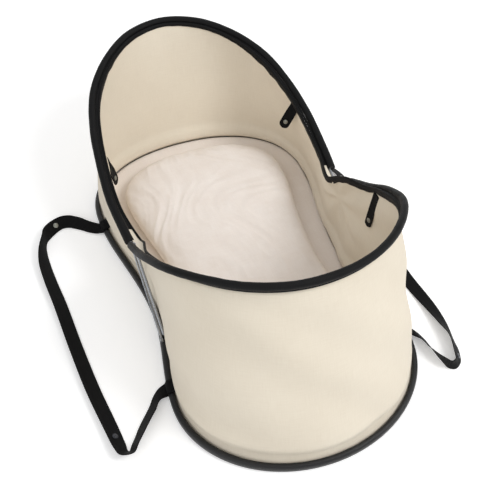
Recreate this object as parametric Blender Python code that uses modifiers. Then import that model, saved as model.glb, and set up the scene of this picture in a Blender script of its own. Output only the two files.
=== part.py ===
"""Carrycot: a cream cloth cot on a folding frame of steel wire, with two webbing handles.

Metres, +Z up. X runs across the cot and Y along it, with the head end at +Y. The origin is on the
floor, halfway between the two base pivots. The cot stands open, with its handles lying beside it.
"""
import math

import bmesh
import bpy
import numpy as np
from mathutils import Matrix, Vector

COLLECTION = "carrycot"
CUTTERS = "cutters"

# Fits
SEAT_GAP = 0.0003
CUT_OVERRUN = 0.002
MERGE_DISTANCE = 0.00001

# Base outline, at the outside of the base band
FOOT_REACH = 0.290
FOOT_CURVE_LENGTH = 0.170
FOOT_HALF_WIDTH = 0.210
WAIST_HALF_WIDTH = 0.187
WAIST_FORWARD = 0.060
HEAD_HALF_WIDTH = 0.219
HEAD_REACH = 0.470
HEAD_CURVE_LENGTH = 0.160
HEAD_CURVE_POWER = 2.2
FOOT_CURVE_POWER = 2.0
BASE_POINTS = 72
PIVOT_ZONE = 0.025
PIVOT_ZONE_END = 0.085
DENSE_POINTS = 720

# Base band, a tape folded into a channel round the base wire
BAND_WIDTH = 0.0096
BAND_WIDTH_AT_PIVOT = 0.0170
BAND_HEIGHT = 0.0100
BAND_INNER_HEIGHT = 0.0085
BAND_THICKNESS = 0.0008
BAND_CHAMFER = 0.0016

# Wire frame
WIRE_RADIUS = 0.0025
WIRE_SIDES_RESOLUTION = 1
BASE_WIRE_RESOLUTION = 1
BASE_WIRE_INSET = 0.0037
BASE_WIRE_INSET_AT_PIVOT = 0.0064
BASE_WIRE_HEIGHT = 0.0055
PIVOT_HEIGHT = 0.0165

# Flattened and drilled ends of the wires
LUG_THICKNESS = 0.0025
LUG_RADIUS = 0.0055
LUG_NECK_WIDTH = 0.0046
LUG_LENGTH = 0.0115
LUG_TUBE_START = 0.0085
STRUT_STANDOFF = 0.0010
PIN_RADIUS = 0.0020
PIN_CLEARANCE = 0.0003
PIN_HEAD_RADIUS = 0.0038
PIN_HEAD_THICKNESS = 0.0010
ROUND_POINTS = 16

# Pivot bracket on the base wire
EAR_THICKNESS = 0.0020
EAR_RADIUS = 0.0056
FERRULE_RADIUS = 0.0040
FERRULE_LENGTH = 0.0140

# Hood hoop: reach and rise are measured from the pivots to the top of the hoop
HOOD_REACH = 0.563
HOOD_RISE = 0.217
HOOD_HALF_WIDTH = 0.199
HOOD_BEND_SHARES = (
    (0.962, 0.261, 0.445),
    (1.000, 0.408, 0.537),
    (0.988, 0.529, 0.659),
    (0.940, 0.650, 0.758),
    (0.840, 0.766, 0.853),
    (0.630, 0.876, 0.942),
    (0.330, 0.966, 0.991),
    (0.000, 1.000, 1.000),
)
HOOD_POINTS = 29

# Foot hoop: reach and rise are measured from its corners to its middle
CORNER_FORWARD = 0.094
CORNER_HEIGHT = 0.158
FOOT_HOOP_REACH = 0.2565
FOOT_HOOP_RISE = 0.1405
FOOT_HOOP_HALF_WIDTH = 0.199
FOOT_BEND_SHARES = (
    (1.000, 0.000, 0.000),
    (0.995, 0.133, 0.178),
    (0.975, 0.374, 0.541),
    (0.900, 0.577, 0.783),
    (0.760, 0.735, 0.904),
    (0.573, 0.869, 0.968),
    (0.330, 0.967, 1.000),
    (0.000, 1.000, 0.986),
)
FOOT_POINTS = 25

# Tape sleeves round the hoops
SLEEVE_RADIUS = 0.0068
SLEEVE_END_INSET = 0.0170
SLEEVE_RESOLUTION = 2

# Cloth wall, its opening edge and the binding over that edge
CLOTH_THICKNESS = 0.0016
WALL_INSET = 0.0076
WALL_INSET_AT_PIVOT = 0.0145
WALL_BOTTOM = 0.0022
WALL_ROWS = 7
WALL_BULGE = 0.0060
WALL_FOLD_DEPTH = 0.0022
WALL_FOLD_COUNT = 9
RIM_FOOT_DROP = 0.0114
RIM_FOOT_POINTS = 10
RIM_TURN_START = 0.40
RIM_TURN_END = 0.75
RIM_HOOD_INSET = 0.0120
RIM_HOOD_DROP = 0.0030
RIM_CORNER_INSET = 0.0200
RIM_MIDDLE_INSET = 0.0195
RIM_MIDDLE_DROP = 0.0060
RIM_SLEEVE_END_INSET = 0.0170
RIM_SLEEVE_END_DROP = 0.0080
BINDING_WIDTH = 0.0140
BINDING_THICKNESS = 0.0010
BINDING_GAP = 0.0010
GUSSET_WIDTH = 0.0110
GUSSET_THICKNESS = 0.0010
GUSSET_ROWS = 7
GUSSET_END_GAP = 0.0150
GUSSET_GAP = 0.0010

# Floor of the cot
FLOOR_CLOTH_THICKNESS = 0.0012
FLOOR_CLOTH_GAP = 0.0005
BOARD_THICKNESS = 0.0030
BOARD_GAP = 0.0015
MATTRESS_HEIGHT = 0.0400
MATTRESS_INSET = 0.0520
MATTRESS_CENTRE = 0.090
MATTRESS_POINTS = 56
MATTRESS_RING_SHARES = (
    (0.900, 0.000),
    (0.972, 0.100),
    (1.000, 0.420),
    (0.990, 0.640),
    (0.950, 0.820),
    (0.880, 0.910),
    (0.740, 0.960),
    (0.520, 0.985),
    (0.260, 1.000),
)
MATTRESS_TUFT_DEPTH = 0.0016
MATTRESS_TUFT_COUNT = 6

# Snap tabs and press studs
TAB_WIDTH = 0.0160
TAB_LENGTH = 0.0480
TAB_THICKNESS = 0.0016
TAB_GAP = 0.0004
TAB_STUD_INSET = 0.0130
HOOD_TAB_FORWARD = 0.320
FOOT_TAB_FORWARD = 0.017
TAB_DROP = 0.0070
STUD_CAP_RADIUS = 0.0048
STUD_CAP_HEIGHT = 0.0016
STUD_POST_RADIUS = 0.0019
STUD_FLANGE_RADIUS = 0.0036
STUD_FLANGE_THICKNESS = 0.0007

# Webbing handles: each route is a share of the reach outwards, a share of the span, and a roll in degrees
WEBBING_WIDTH = 0.0250
WEBBING_THICKNESS = 0.0016
HANDLE_HEAD_ANCHOR = 0.290
HANDLE_FOOT_ANCHORS = {"left": -0.085, "right": -0.122}
HANDLE_REACH = 0.120
HANDLE_BAND_GAP = 0.0004
HANDLE_AXIS_OFFSET = 0.0040
HANDLE_END_HEIGHT = 0.0062
HANDLE_POINTS = 56
FLOOR_GAP = 0.0002
HANDLE_ROUTE_SHARES = {
    "left": (
        (0.000, 0.000, 0.0),
        (0.130, -0.010, 2.0),
        (0.290, -0.055, 4.0),
        (0.480, -0.078, 7.0),
        (0.640, -0.070, 8.0),
        (0.760, -0.052, 10.0),
        (0.860, -0.016, 44.0),
        (0.950, 0.045, 62.0),
        (0.990, 0.130, 36.0),
        (0.985, 0.240, 14.0),
        (0.945, 0.380, 14.0),
        (0.910, 0.656, 16.0),
        (0.860, 0.915, 20.0),
        (0.810, 1.060, 20.0),
        (0.788, 1.130, 21.0),
        (0.775, 1.170, 24.0),
        (0.760, 1.205, 60.0),
        (0.700, 1.225, 80.0),
        (0.600, 1.190, 84.0),
        (0.440, 1.135, 66.0),
        (0.280, 1.060, 30.0),
        (0.120, 1.000, 6.0),
        (0.000, 1.000, 0.0),
    ),
    "right": (
        (0.000, 0.000, 0.0),
        (0.120, 0.000, 2.0),
        (0.240, 0.000, 8.0),
        (0.370, 0.050, 46.0),
        (0.430, 0.140, 50.0),
        (0.440, 0.340, 18.0),
        (0.430, 0.560, 14.0),
        (0.430, 0.750, 16.0),
        (0.480, 0.870, 26.0),
        (0.510, 0.950, 40.0),
        (0.515, 1.045, 56.0),
        (0.495, 1.120, 60.0),
        (0.440, 1.190, 61.0),
        (0.390, 1.225, 66.0),
        (0.310, 1.238, 74.0),
        (0.220, 1.212, 76.0),
        (0.140, 1.150, 50.0),
        (0.080, 1.060, 20.0),
        (0.000, 1.000, 0.0),
    ),
}
HANDLE_STUD_SHARES = {"left": (0.110, 0.764), "right": (0.127, 0.807)}
HANDLE_STUD_GAP = 0.0006
PATCH_HEIGHT = 0.0120
PATCH_THICKNESS = 0.0012
PATCH_RAISE = 0.0030
PATCH_WALL_GAP = 0.0008

# Colours as red, green, blue, and how rough and how metallic each finish is
CREAM = (0.84, 0.76, 0.64)
OFF_WHITE = (0.86, 0.81, 0.76)
BLACK = (0.012, 0.012, 0.014)
STEEL = (0.55, 0.56, 0.58)
BOARD_GREY = (0.30, 0.28, 0.25)
FINISHES = {
    "cotton": (CREAM, 0.90, 0.0),
    "mattress_cotton": (OFF_WHITE, 0.92, 0.0),
    "webbing": (BLACK, 0.70, 0.0),
    "binding": (BLACK, 0.60, 0.0),
    "steel_wire": (STEEL, 0.28, 1.0),
    "stud_metal": (BLACK, 0.35, 0.6),
    "hardboard": (BOARD_GREY, 0.70, 0.0),
}


def clear_scene():
    """Removes every object that the file starts with."""
    for thing in list(bpy.data.objects):
        bpy.data.objects.remove(thing, do_unlink=True)


def collection(name):
    """The collection of that name, linked to the scene."""
    found = bpy.data.collections.get(name)
    if found is None:
        found = bpy.data.collections.new(name)
        bpy.context.scene.collection.children.link(found)
    return found


def material(name):
    """A Principled material of its own for one piece, from the table of finishes."""
    finish, piece = name
    colour, roughness, metallic = FINISHES[finish]
    made = bpy.data.materials.new(f"{finish}_{piece}")
    made.use_nodes = True
    shader = made.node_tree.nodes["Principled BSDF"]
    shader.inputs["Base Color"].default_value = (*colour, 1.0)
    shader.inputs["Roughness"].default_value = roughness
    shader.inputs["Metallic"].default_value = metallic
    return made


def axis_empty(name, location):
    """An empty on a joint's axis, which the pieces that turn there are parented to."""
    empty = bpy.data.objects.new(name, None)
    empty.location = location
    collection(COLLECTION).objects.link(empty)
    return empty


def place(thing, finish, axis=None, smooth_degrees=40.0):
    """Links a finished object into the cot's collection with its own material and its joint's empty."""
    collection(COLLECTION).objects.link(thing)
    thing.data.materials.clear()
    thing.data.materials.append(material((finish, thing.name)))
    thing.data.shade_smooth()
    thing.data.set_sharp_from_angle(angle=math.radians(smooth_degrees))
    if axis is not None:
        thing.data.transform(Matrix.Translation(-axis.location))
        thing.parent = axis
    return thing


# Curves and frames


def cubic_through(points, count, measured=3):
    """Even steps along a smooth curve through the points, measured over the first columns."""
    given = np.array(points, float)
    steps = np.linalg.norm(np.diff(given[:, :measured], axis=0), axis=1)
    knots = np.concatenate([[0.0], np.cumsum(steps)])
    dense = np.linspace(0.0, knots[-1], DENSE_POINTS)
    slopes = np.gradient(given, knots, axis=0)
    span = np.clip(np.searchsorted(knots, dense, side="right") - 1, 0, len(knots) - 2)
    length = (knots[span + 1] - knots[span])[:, None]
    t = ((dense - knots[span])[:, None]) / length
    curve = (
        (2 * t**3 - 3 * t**2 + 1) * given[span]
        + (t**3 - 2 * t**2 + t) * length * slopes[span]
        + (3 * t**2 - 2 * t**3) * given[span + 1]
        + (t**3 - t**2) * length * slopes[span + 1]
    )
    return even_steps(curve, count, measured)


def even_steps(curve, count, measured=3):
    """The curve again, as count points at equal distances along it."""
    steps = np.linalg.norm(np.diff(curve[:, :measured], axis=0), axis=1)
    length = np.concatenate([[0.0], np.cumsum(steps)])
    wanted = np.linspace(0.0, length[-1], count)
    return np.column_stack([np.interp(wanted, length, column) for column in curve.T])


def mirrored(half):
    """A whole curve from its right half, which ends on the middle plane."""
    left = half[:-1].copy()
    left[:, 0] *= -1.0
    return np.vstack([half, left[::-1]])


def tangents(points, closed=False):
    """Unit directions along a run of points."""
    if closed:
        along = np.roll(points, -1, axis=0) - np.roll(points, 1, axis=0)
    else:
        along = np.gradient(points, axis=0)
    return along / np.linalg.norm(along, axis=1)[:, None]


# The base outline


def outline_half():
    """The right half of the base outline, from the foot end to the head end."""
    turn = np.linspace(0.0, math.pi / 2, DENSE_POINTS)
    foot_centre = FOOT_CURVE_LENGTH - FOOT_REACH
    foot = np.column_stack(
        [
            FOOT_HALF_WIDTH * np.sin(turn) ** (2 / FOOT_CURVE_POWER),
            foot_centre - FOOT_CURVE_LENGTH * np.cos(turn) ** (2 / FOOT_CURVE_POWER),
        ]
    )
    head_centre = HEAD_REACH - HEAD_CURVE_LENGTH
    ease = (1 - np.cos(np.linspace(0.0, math.pi, DENSE_POINTS))) / 2
    rise = np.linspace(0.0, 1.0, DENSE_POINTS)
    to_waist = np.column_stack(
        [
            FOOT_HALF_WIDTH + (WAIST_HALF_WIDTH - FOOT_HALF_WIDTH) * ease,
            foot_centre + (WAIST_FORWARD - foot_centre) * rise,
        ]
    )
    to_head = np.column_stack(
        [
            WAIST_HALF_WIDTH + (HEAD_HALF_WIDTH - WAIST_HALF_WIDTH) * ease,
            WAIST_FORWARD + (head_centre - WAIST_FORWARD) * rise,
        ]
    )
    head = np.column_stack(
        [
            HEAD_HALF_WIDTH * np.cos(turn) ** (2 / HEAD_CURVE_POWER),
            head_centre + HEAD_CURVE_LENGTH * np.sin(turn) ** (2 / HEAD_CURVE_POWER),
        ]
    )
    return np.vstack([foot, to_waist[1:], to_head[1:], head[1:]])


def base_half(inset, at_pivot=None, count=DENSE_POINTS):
    """The right half of the outline, moved inwards from even steps, and further where the pivots need room."""
    dense = even_steps(outline_half(), DENSE_POINTS)
    along = tangents(dense)
    inward = np.column_stack([-along[:, 1], along[:, 0]])
    inward[0] = (0.0, 1.0)
    inward[-1] = (0.0, -1.0)
    further = 0.0 if at_pivot is None else at_pivot - inset
    near = np.clip((PIVOT_ZONE_END - np.abs(dense[:, 1])) / (PIVOT_ZONE_END - PIVOT_ZONE), 0.0, 1.0)
    depth = inset + further * (1 - np.cos(math.pi * near)) / 2
    moved = dense + depth[:, None] * inward
    moved[0, 0] = 0.0
    moved[-1, 0] = 0.0
    wanted = np.linspace(0, DENSE_POINTS - 1, count)
    return np.column_stack([np.interp(wanted, np.arange(DENSE_POINTS), column) for column in moved.T])


def base_loop(inset, at_pivot=None, count=BASE_POINTS):
    """The whole outline as a closed run of points, anticlockwise from the foot end."""
    return mirrored(base_half(inset, at_pivot, count // 2 + 1))[:-1]


def base_width_at(forward, inset=0.0, at_pivot=None):
    """Half the width of the base at a place along the cot."""
    half = base_half(inset, at_pivot)
    return float(np.interp(forward, half[:, 1], half[:, 0]))


# Mesh makers


def mesh_object(name, verts, faces):
    """An object from points and faces, its faces turned outwards where it is closed."""
    mesh = bpy.data.meshes.new(name)
    mesh.from_pydata([tuple(v) for v in verts], [], faces)
    mesh.update()
    return bpy.data.objects.new(name, mesh)


def grid_object(name, rows, closed=False):
    """An open sheet of quads; each row is a run of points, and closed joins the last row to the first."""
    rows = np.asarray(rows, float)
    count, width = rows.shape[:2]
    faces = []
    for i in range(count if closed else count - 1):
        here = i * width
        there = ((i + 1) % count) * width
        for j in range(width - 1):
            faces.append((here + j, there + j, there + j + 1, here + j + 1))
    return mesh_object(name, rows.reshape(-1, 3), faces)


def thicken(thing, thickness, offset=0.0):
    """Gives a sheet its thickness; offset 0 keeps the sheet in the middle."""
    solid = thing.modifiers.new("thickness", "SOLIDIFY")
    solid.thickness = thickness
    solid.offset = offset
    solid.use_even_offset = True
    return thing


def curve_object(name, points, radius, resolution, closed=False, caps=True):
    """A round wire or tube along the points."""
    data = bpy.data.curves.new(name, "CURVE")
    data.dimensions = "3D"
    data.bevel_depth = radius
    data.bevel_resolution = resolution
    data.render_resolution_u = 0
    data.use_fill_caps = caps and not closed
    spline = data.splines.new("POLY")
    spline.points.add(len(points) - 1)
    for target, point in zip(spline.points, points):
        target.co = (*point, 1.0)
    spline.use_cyclic_u = closed
    return bpy.data.objects.new(name, data)


def plate_object(name, outlines, thickness):
    """A flat plate in its own XY plane, from an outline and any holes, lying between 0 and its thickness."""
    data = bpy.data.curves.new(name, "CURVE")
    data.dimensions = "2D"
    data.fill_mode = "BOTH"
    data.extrude = thickness / 2
    data.render_resolution_u = 0
    for outline in outlines:
        spline = data.splines.new("POLY")
        spline.points.add(len(outline) - 1)
        for target, point in zip(spline.points, outline):
            target.co = (point[0], point[1], 0.0, 1.0)
        spline.use_cyclic_u = True
    return to_mesh(bpy.data.objects.new(name, data), Matrix.Translation((0, 0, thickness / 2)))


def to_mesh(thing, matrix=Matrix.Identity(4)):
    """The evaluated object as a welded mesh, moved by the matrix; the first object is removed."""
    holder = collection(CUTTERS)
    holder.objects.link(thing)
    bpy.context.view_layer.update()
    graph = bpy.context.evaluated_depsgraph_get()
    mesh = bpy.data.meshes.new_from_object(thing.evaluated_get(graph))
    mesh.transform(matrix @ thing.matrix_world)
    name = thing.name
    bpy.data.objects.remove(thing, do_unlink=True)
    work = bmesh.new()
    work.from_mesh(mesh)
    bmesh.ops.remove_doubles(work, verts=work.verts, dist=MERGE_DISTANCE)
    closed = all(edge.is_manifold for edge in work.edges)
    if closed:
        bmesh.ops.recalc_face_normals(work, faces=work.faces)
    work.to_mesh(mesh)
    work.free()
    mesh.materials.clear()
    made = bpy.data.objects.new(name, mesh)
    return made


def combined(thing, others, operation):
    """The mesh of one object after exact Booleans with the others, which are removed."""
    holder = collection(CUTTERS)
    holder.objects.link(thing)
    for other in others:
        holder.objects.link(other)
        other.hide_render = True
        other.display_type = "WIRE"
        cut = thing.modifiers.new("cut", "BOOLEAN")
        cut.operation = operation
        cut.solver = "EXACT"
        cut.use_self = operation == "UNION"
        cut.object = other
    bpy.context.view_layer.update()
    graph = bpy.context.evaluated_depsgraph_get()
    mesh = bpy.data.meshes.new_from_object(thing.evaluated_get(graph))
    mesh.transform(thing.matrix_world)
    name = thing.name
    for other in [thing, *others]:
        bpy.data.objects.remove(other, do_unlink=True)
    return bpy.data.objects.new(name, mesh)


def circle(radius, centre=(0.0, 0.0), count=ROUND_POINTS):
    """Points of a circle in a plane."""
    turns = 2 * math.pi * np.arange(count) / count
    return [(centre[0] + radius * math.cos(a), centre[1] + radius * math.sin(a)) for a in turns]


def cylinder(name, radius, start, end):
    """A closed cylinder between two points."""
    start, end = Vector(start), Vector(end)
    work = bmesh.new()
    bmesh.ops.create_cone(
        work,
        cap_ends=True,
        segments=ROUND_POINTS,
        radius1=radius,
        radius2=radius,
        depth=(end - start).length,
    )
    mesh = bpy.data.meshes.new(name)
    work.to_mesh(mesh)
    work.free()
    turn = (end - start).to_track_quat("Z", "Y").to_matrix().to_4x4()
    mesh.transform(Matrix.Translation((start + end) / 2) @ turn)
    return bpy.data.objects.new(name, mesh)


def turned(name, profile, matrix):
    """A round piece turned about its own Z axis; the profile runs down its outer side."""
    verts = [(radius, 0.0, height) for radius, height in profile]
    edges = [(i, i + 1) for i in range(len(verts) - 1)]
    mesh = bpy.data.meshes.new(name)
    mesh.from_pydata(verts, edges, [])
    thing = bpy.data.objects.new(name, mesh)
    screw = thing.modifiers.new("turn", "SCREW")
    screw.steps = ROUND_POINTS
    screw.render_steps = ROUND_POINTS
    screw.use_merge_vertices = True
    screw.merge_threshold = MERGE_DISTANCE
    screw.use_smooth_shade = True
    return to_mesh(thing, matrix)


def frame_matrix(origin, x_axis, z_axis):
    """A placing matrix from an origin, a rough X direction and a Z direction."""
    z = Vector(z_axis).normalized()
    y = z.cross(Vector(x_axis)).normalized()
    x = y.cross(z)
    turn = Matrix((x, y, z)).transposed().to_4x4()
    return Matrix.Translation(Vector(origin)) @ turn


# Paths of the frame


def pivot_offsets():
    """How far the middles of the hood lug, the bracket's ear and the strut lug lie in from the band."""
    step = EAR_THICKNESS / 2 + SEAT_GAP + LUG_THICKNESS / 2
    middle = BASE_WIRE_INSET_AT_PIVOT
    return middle - step, middle, middle + step + STRUT_STANDOFF


def pivot_x(offset):
    """The distance of a piece at the pivot from the middle plane."""
    return base_width_at(0.0) - offset


def hood_half():
    """The right half of the hood hoop's centre line, from the sleeve's end to the top."""
    bends = [
        (x * HOOD_HALF_WIDTH, y * HOOD_REACH, PIVOT_HEIGHT + z * HOOD_RISE) for x, y, z in HOOD_BEND_SHARES
    ]
    bends += [(-x, y, z) for x, y, z in reversed(bends[:-1])]
    whole = cubic_through(bends, HOOD_POINTS * 2 - 1)
    whole[HOOD_POINTS - 1, 0] = 0.0
    return whole[:HOOD_POINTS]


def foot_half():
    """The right half of the foot hoop's centre line, from its corner to its middle."""
    bends = [
        (
            x * FOOT_HOOP_HALF_WIDTH,
            CORNER_FORWARD - y * FOOT_HOOP_REACH,
            CORNER_HEIGHT + z * FOOT_HOOP_RISE,
        )
        for x, y, z in FOOT_BEND_SHARES
    ]
    bends += [(-x, y, z) for x, y, z in reversed(bends[:-1])]
    whole = cubic_through(bends, FOOT_POINTS * 2 - 1)
    whole[FOOT_POINTS - 1, 0] = 0.0
    return whole[:FOOT_POINTS]


def hood_pivot():
    """The middle of the right hood lug."""
    return np.array([pivot_x(pivot_offsets()[0]), 0.0, PIVOT_HEIGHT])


def strut_pivot():
    """The middle of the right strut's lower lug."""
    return np.array([pivot_x(pivot_offsets()[2]), 0.0, PIVOT_HEIGHT])


def strut_top():
    """The middle of the right strut's upper lug, inside the foot hoop's lug."""
    inward = LUG_THICKNESS + SEAT_GAP + STRUT_STANDOFF
    return np.array([FOOT_HOOP_HALF_WIDTH - inward, CORNER_FORWARD, CORNER_HEIGHT])


def rim_half():
    """The right half of the cloth's opening edge, from the foot end to the head end."""
    hood = hood_half()
    foot = even_steps(foot_half()[::-1], RIM_FOOT_POINTS)
    share = np.linspace(0.0, 1.0, RIM_FOOT_POINTS)
    turn = math.pi / 2 * np.clip((share - RIM_TURN_START) / (RIM_TURN_END - RIM_TURN_START), 0.0, 1.0)
    widen = np.clip((share - RIM_TURN_END) / (1 - RIM_TURN_END), 0.0, 1.0) ** 2
    reach = RIM_FOOT_DROP + (RIM_CORNER_INSET - RIM_FOOT_DROP) * widen
    under = foot - reach[:, None] * np.column_stack([np.sin(turn), 0.0 * turn, np.cos(turn)])
    corner = under[-1]
    middle = (foot[-1] + hood[0]) / 2 - (RIM_MIDDLE_INSET, 0.0, RIM_MIDDLE_DROP)
    end = hood[0] - (RIM_SLEEVE_END_INSET, 0.0, RIM_SLEEVE_END_DROP)
    along = tangents(hood)
    inward = np.column_stack([-along[:, 1], along[:, 0]])
    inward /= np.linalg.norm(inward, axis=1)[:, None]
    inside = hood.copy()
    inside[:, :2] += RIM_HOOD_INSET * inward
    inside[:, 2] -= RIM_HOOD_DROP
    inside[-1, 0] = 0.0
    step = HOOD_POINTS // 8
    head = inside[step::step]
    if abs(head[-1][0]) > MERGE_DISTANCE:
        head = np.vstack([head, inside[-1]])
    points = np.vstack([under, middle, end, head])
    dense = cubic_through(np.vstack([points[2:0:-1] * (-1.0, 1.0, 1.0), points]), DENSE_POINTS)
    half = dense[int(np.argmin(np.abs(dense[: DENSE_POINTS // 3, 0]))) :]
    half[0, 0] = 0.0
    half[-1, 0] = 0.0
    return even_steps(half, DENSE_POINTS), corner, end


def split_at(curve, place):
    """The two parts of a run of points, cut where it passes nearest to the place."""
    nearest = int(np.argmin(np.linalg.norm(curve - np.asarray(place), axis=1)))
    return curve[: nearest + 1], curve[nearest:]


# Base pieces


def build_base():
    """The base wire, its band, the floor cloth, the board and the mattress."""
    ring = base_loop(BASE_WIRE_INSET, BASE_WIRE_INSET_AT_PIVOT)
    points = np.column_stack([ring, np.full(len(ring), BASE_WIRE_HEIGHT)])
    wire = to_mesh(curve_object("base_wire", points, WIRE_RADIUS, BASE_WIRE_RESOLUTION, closed=True))
    place(wire, "steel_wire")

    section = (
        (1, 0.0, BAND_INNER_HEIGHT),
        (1, 0.0, BAND_CHAMFER),
        (1, BAND_CHAMFER, 0.0),
        (0, -BAND_CHAMFER, 0.0),
        (0, 0.0, BAND_CHAMFER),
        (0, 0.0, BAND_HEIGHT),
    )
    loops = [base_loop(side * BAND_WIDTH - back, side * BAND_WIDTH_AT_PIVOT - back) for side, back, _ in section]
    rows = [
        [(*loop[k], height) for loop, (_, _, height) in zip(loops, section)] for k in range(len(ring))
    ]
    band = thicken(grid_object("base_band", rows, closed=True), BAND_THICKNESS, offset=-1.0)
    place(orient_outward(band), "binding")

    edge = base_loop(BAND_WIDTH + FLOOR_CLOTH_GAP, BAND_WIDTH_AT_PIVOT + FLOOR_CLOTH_GAP)
    place(plate_object("floor_cloth", [edge], FLOOR_CLOTH_THICKNESS), "cotton")

    edge = base_loop(BAND_WIDTH + BOARD_GAP, BAND_WIDTH_AT_PIVOT + BOARD_GAP)
    board = plate_object("base_board", [edge], BOARD_THICKNESS)
    board.data.transform(Matrix.Translation((0, 0, FLOOR_CLOTH_THICKNESS + SEAT_GAP)))
    place(board, "hardboard")
    place(mattress(), "mattress_cotton", smooth_degrees=60.0)


def board_top():
    """The height of the board's upper face."""
    return FLOOR_CLOTH_THICKNESS + SEAT_GAP + BOARD_THICKNESS


def orient_outward(thing):
    """Turns a thickened sheet's faces outwards, by the sign of its volume."""
    mesh = to_mesh(thing)
    work = bmesh.new()
    work.from_mesh(mesh.data)
    if work.calc_volume(signed=True) < 0:
        bmesh.ops.reverse_faces(work, faces=work.faces)
        work.to_mesh(mesh.data)
    work.free()
    return mesh


def mattress():
    """The pad: an oval with drawn-in sides, a low crown and shallow hollows along its middle."""
    ring = base_loop(MATTRESS_INSET, count=MATTRESS_POINTS)
    centre = np.array([0.0, MATTRESS_CENTRE])
    bottom = board_top() + SEAT_GAP
    verts = []
    for scale, rise in MATTRESS_RING_SHARES:
        for x, y in centre + (ring - centre) * scale:
            wave = math.cos(2 * math.pi * MATTRESS_TUFT_COUNT * (y - centre[1]) / (HEAD_REACH + FOOT_REACH))
            dent = MATTRESS_TUFT_DEPTH * wave * rise * (1 - scale)
            verts.append((x, y, bottom + rise * MATTRESS_HEIGHT + dent))
    count = len(ring)
    faces = []
    for k in range(len(MATTRESS_RING_SHARES) - 1):
        for i in range(count):
            j = (i + 1) % count
            faces.append((k * count + i, k * count + j, (k + 1) * count + j, (k + 1) * count + i))
    top = (len(MATTRESS_RING_SHARES) - 1) * count
    verts.append((*centre, bottom))
    verts.append((*centre, bottom + MATTRESS_HEIGHT))
    for i in range(count):
        j = (i + 1) % count
        faces.append((len(verts) - 2, j, i))
        faces.append((len(verts) - 1, top + i, top + j))
    return mesh_object("mattress", verts, faces)


# Frame pieces


def lug(side, centre, towards):
    """A flattened wire end in the YZ plane: a drilled round eye with a neck towards the wire."""
    direction = np.array(towards, float)[1:] - np.array(centre, float)[1:]
    angle = math.atan2(direction[1], direction[0])
    neck = math.asin(LUG_NECK_WIDTH / 2 / LUG_RADIUS)
    turns = np.linspace(neck, 2 * math.pi - neck, ROUND_POINTS)
    outline = [(LUG_RADIUS * math.cos(a), LUG_RADIUS * math.sin(a)) for a in turns]
    outline += [(LUG_LENGTH, -LUG_NECK_WIDTH / 2), (LUG_LENGTH, LUG_NECK_WIDTH / 2)]
    plate = plate_object(f"lug_{side}", [outline, circle(PIN_RADIUS + PIN_CLEARANCE)], LUG_THICKNESS)
    along = (0.0, math.cos(angle), math.sin(angle))
    plate.data.transform(Matrix.Translation((0, 0, -LUG_THICKNESS / 2)))
    plate.data.transform(frame_matrix(centre, along, (1.0, 0.0, 0.0)))
    return plate


def rod_end(centre, towards):
    """Where the round wire starts, beside a lug's eye."""
    step = np.array(towards, float) - np.array(centre, float)
    return np.array(centre) + step / np.linalg.norm(step) * LUG_TUBE_START


def hooped_wire(name, half, pivot):
    """A whole hoop of wire with a flattened, drilled end at each side."""
    first = half[0] if np.linalg.norm(half[0] - pivot) > LUG_LENGTH else half[2]
    right = np.vstack([rod_end(pivot, first)[None], half[np.linalg.norm(half - pivot, axis=1) > LUG_LENGTH]])
    points = mirrored(right)
    tube = to_mesh(curve_object(name, points, WIRE_RADIUS, WIRE_SIDES_RESOLUTION))
    flip = np.array([-1.0, 1.0, 1.0])
    lugs = [lug("right", pivot, first), lug("left", pivot * flip, first * flip)]
    return combined(tube, lugs, "UNION")


def sleeve(name, half, bare):
    """A tape sleeve with an open bore round a hoop's wire, past a bare stretch at each end."""
    steps = np.concatenate([[0.0], np.cumsum(np.linalg.norm(np.diff(half, axis=0), axis=1))])
    first = [np.interp(bare, steps, column) for column in half.T]
    kept = np.vstack([[first], half[steps > bare + MERGE_DISTANCE]])
    tube = to_mesh(curve_object(name, mirrored(kept), SLEEVE_RADIUS, SLEEVE_RESOLUTION, caps=False))
    sides = 2 * (SLEEVE_RESOLUTION + 2)
    flat_radius = SLEEVE_RADIUS * math.cos(math.pi / sides)
    thicken(tube, flat_radius - WIRE_RADIUS - SEAT_GAP, offset=-1.0)
    return orient_outward(tube)


def strut(side, sign):
    """One bare wire strut with a flattened, drilled end at its foot and its top."""
    flip = np.array([sign, 1.0, 1.0])
    low, high = strut_pivot() * flip, strut_top() * flip
    rod = cylinder(f"strut_{side}", WIRE_RADIUS, rod_end(low, high), rod_end(high, low))
    return combined(rod, [lug("low", low, high), lug("high", high, low)], "UNION")


def pin(name, low_x, high_x, forward, height):
    """A round pin along X with a head at each end, just outside what it holds."""
    reach = (high_x - low_x) / 2 + SEAT_GAP
    profile = (
        (0.0, reach + PIN_HEAD_THICKNESS),
        (PIN_HEAD_RADIUS, reach + PIN_HEAD_THICKNESS),
        (PIN_HEAD_RADIUS, reach),
        (PIN_RADIUS, reach),
        (PIN_RADIUS, -reach),
        (PIN_HEAD_RADIUS, -reach),
        (PIN_HEAD_RADIUS, -reach - PIN_HEAD_THICKNESS),
        (0.0, -reach - PIN_HEAD_THICKNESS),
    )
    middle = ((low_x + high_x) / 2, forward, height)
    return turned(name, profile, frame_matrix(middle, (0.0, 1.0, 0.0), (1.0, 0.0, 0.0)))


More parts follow.
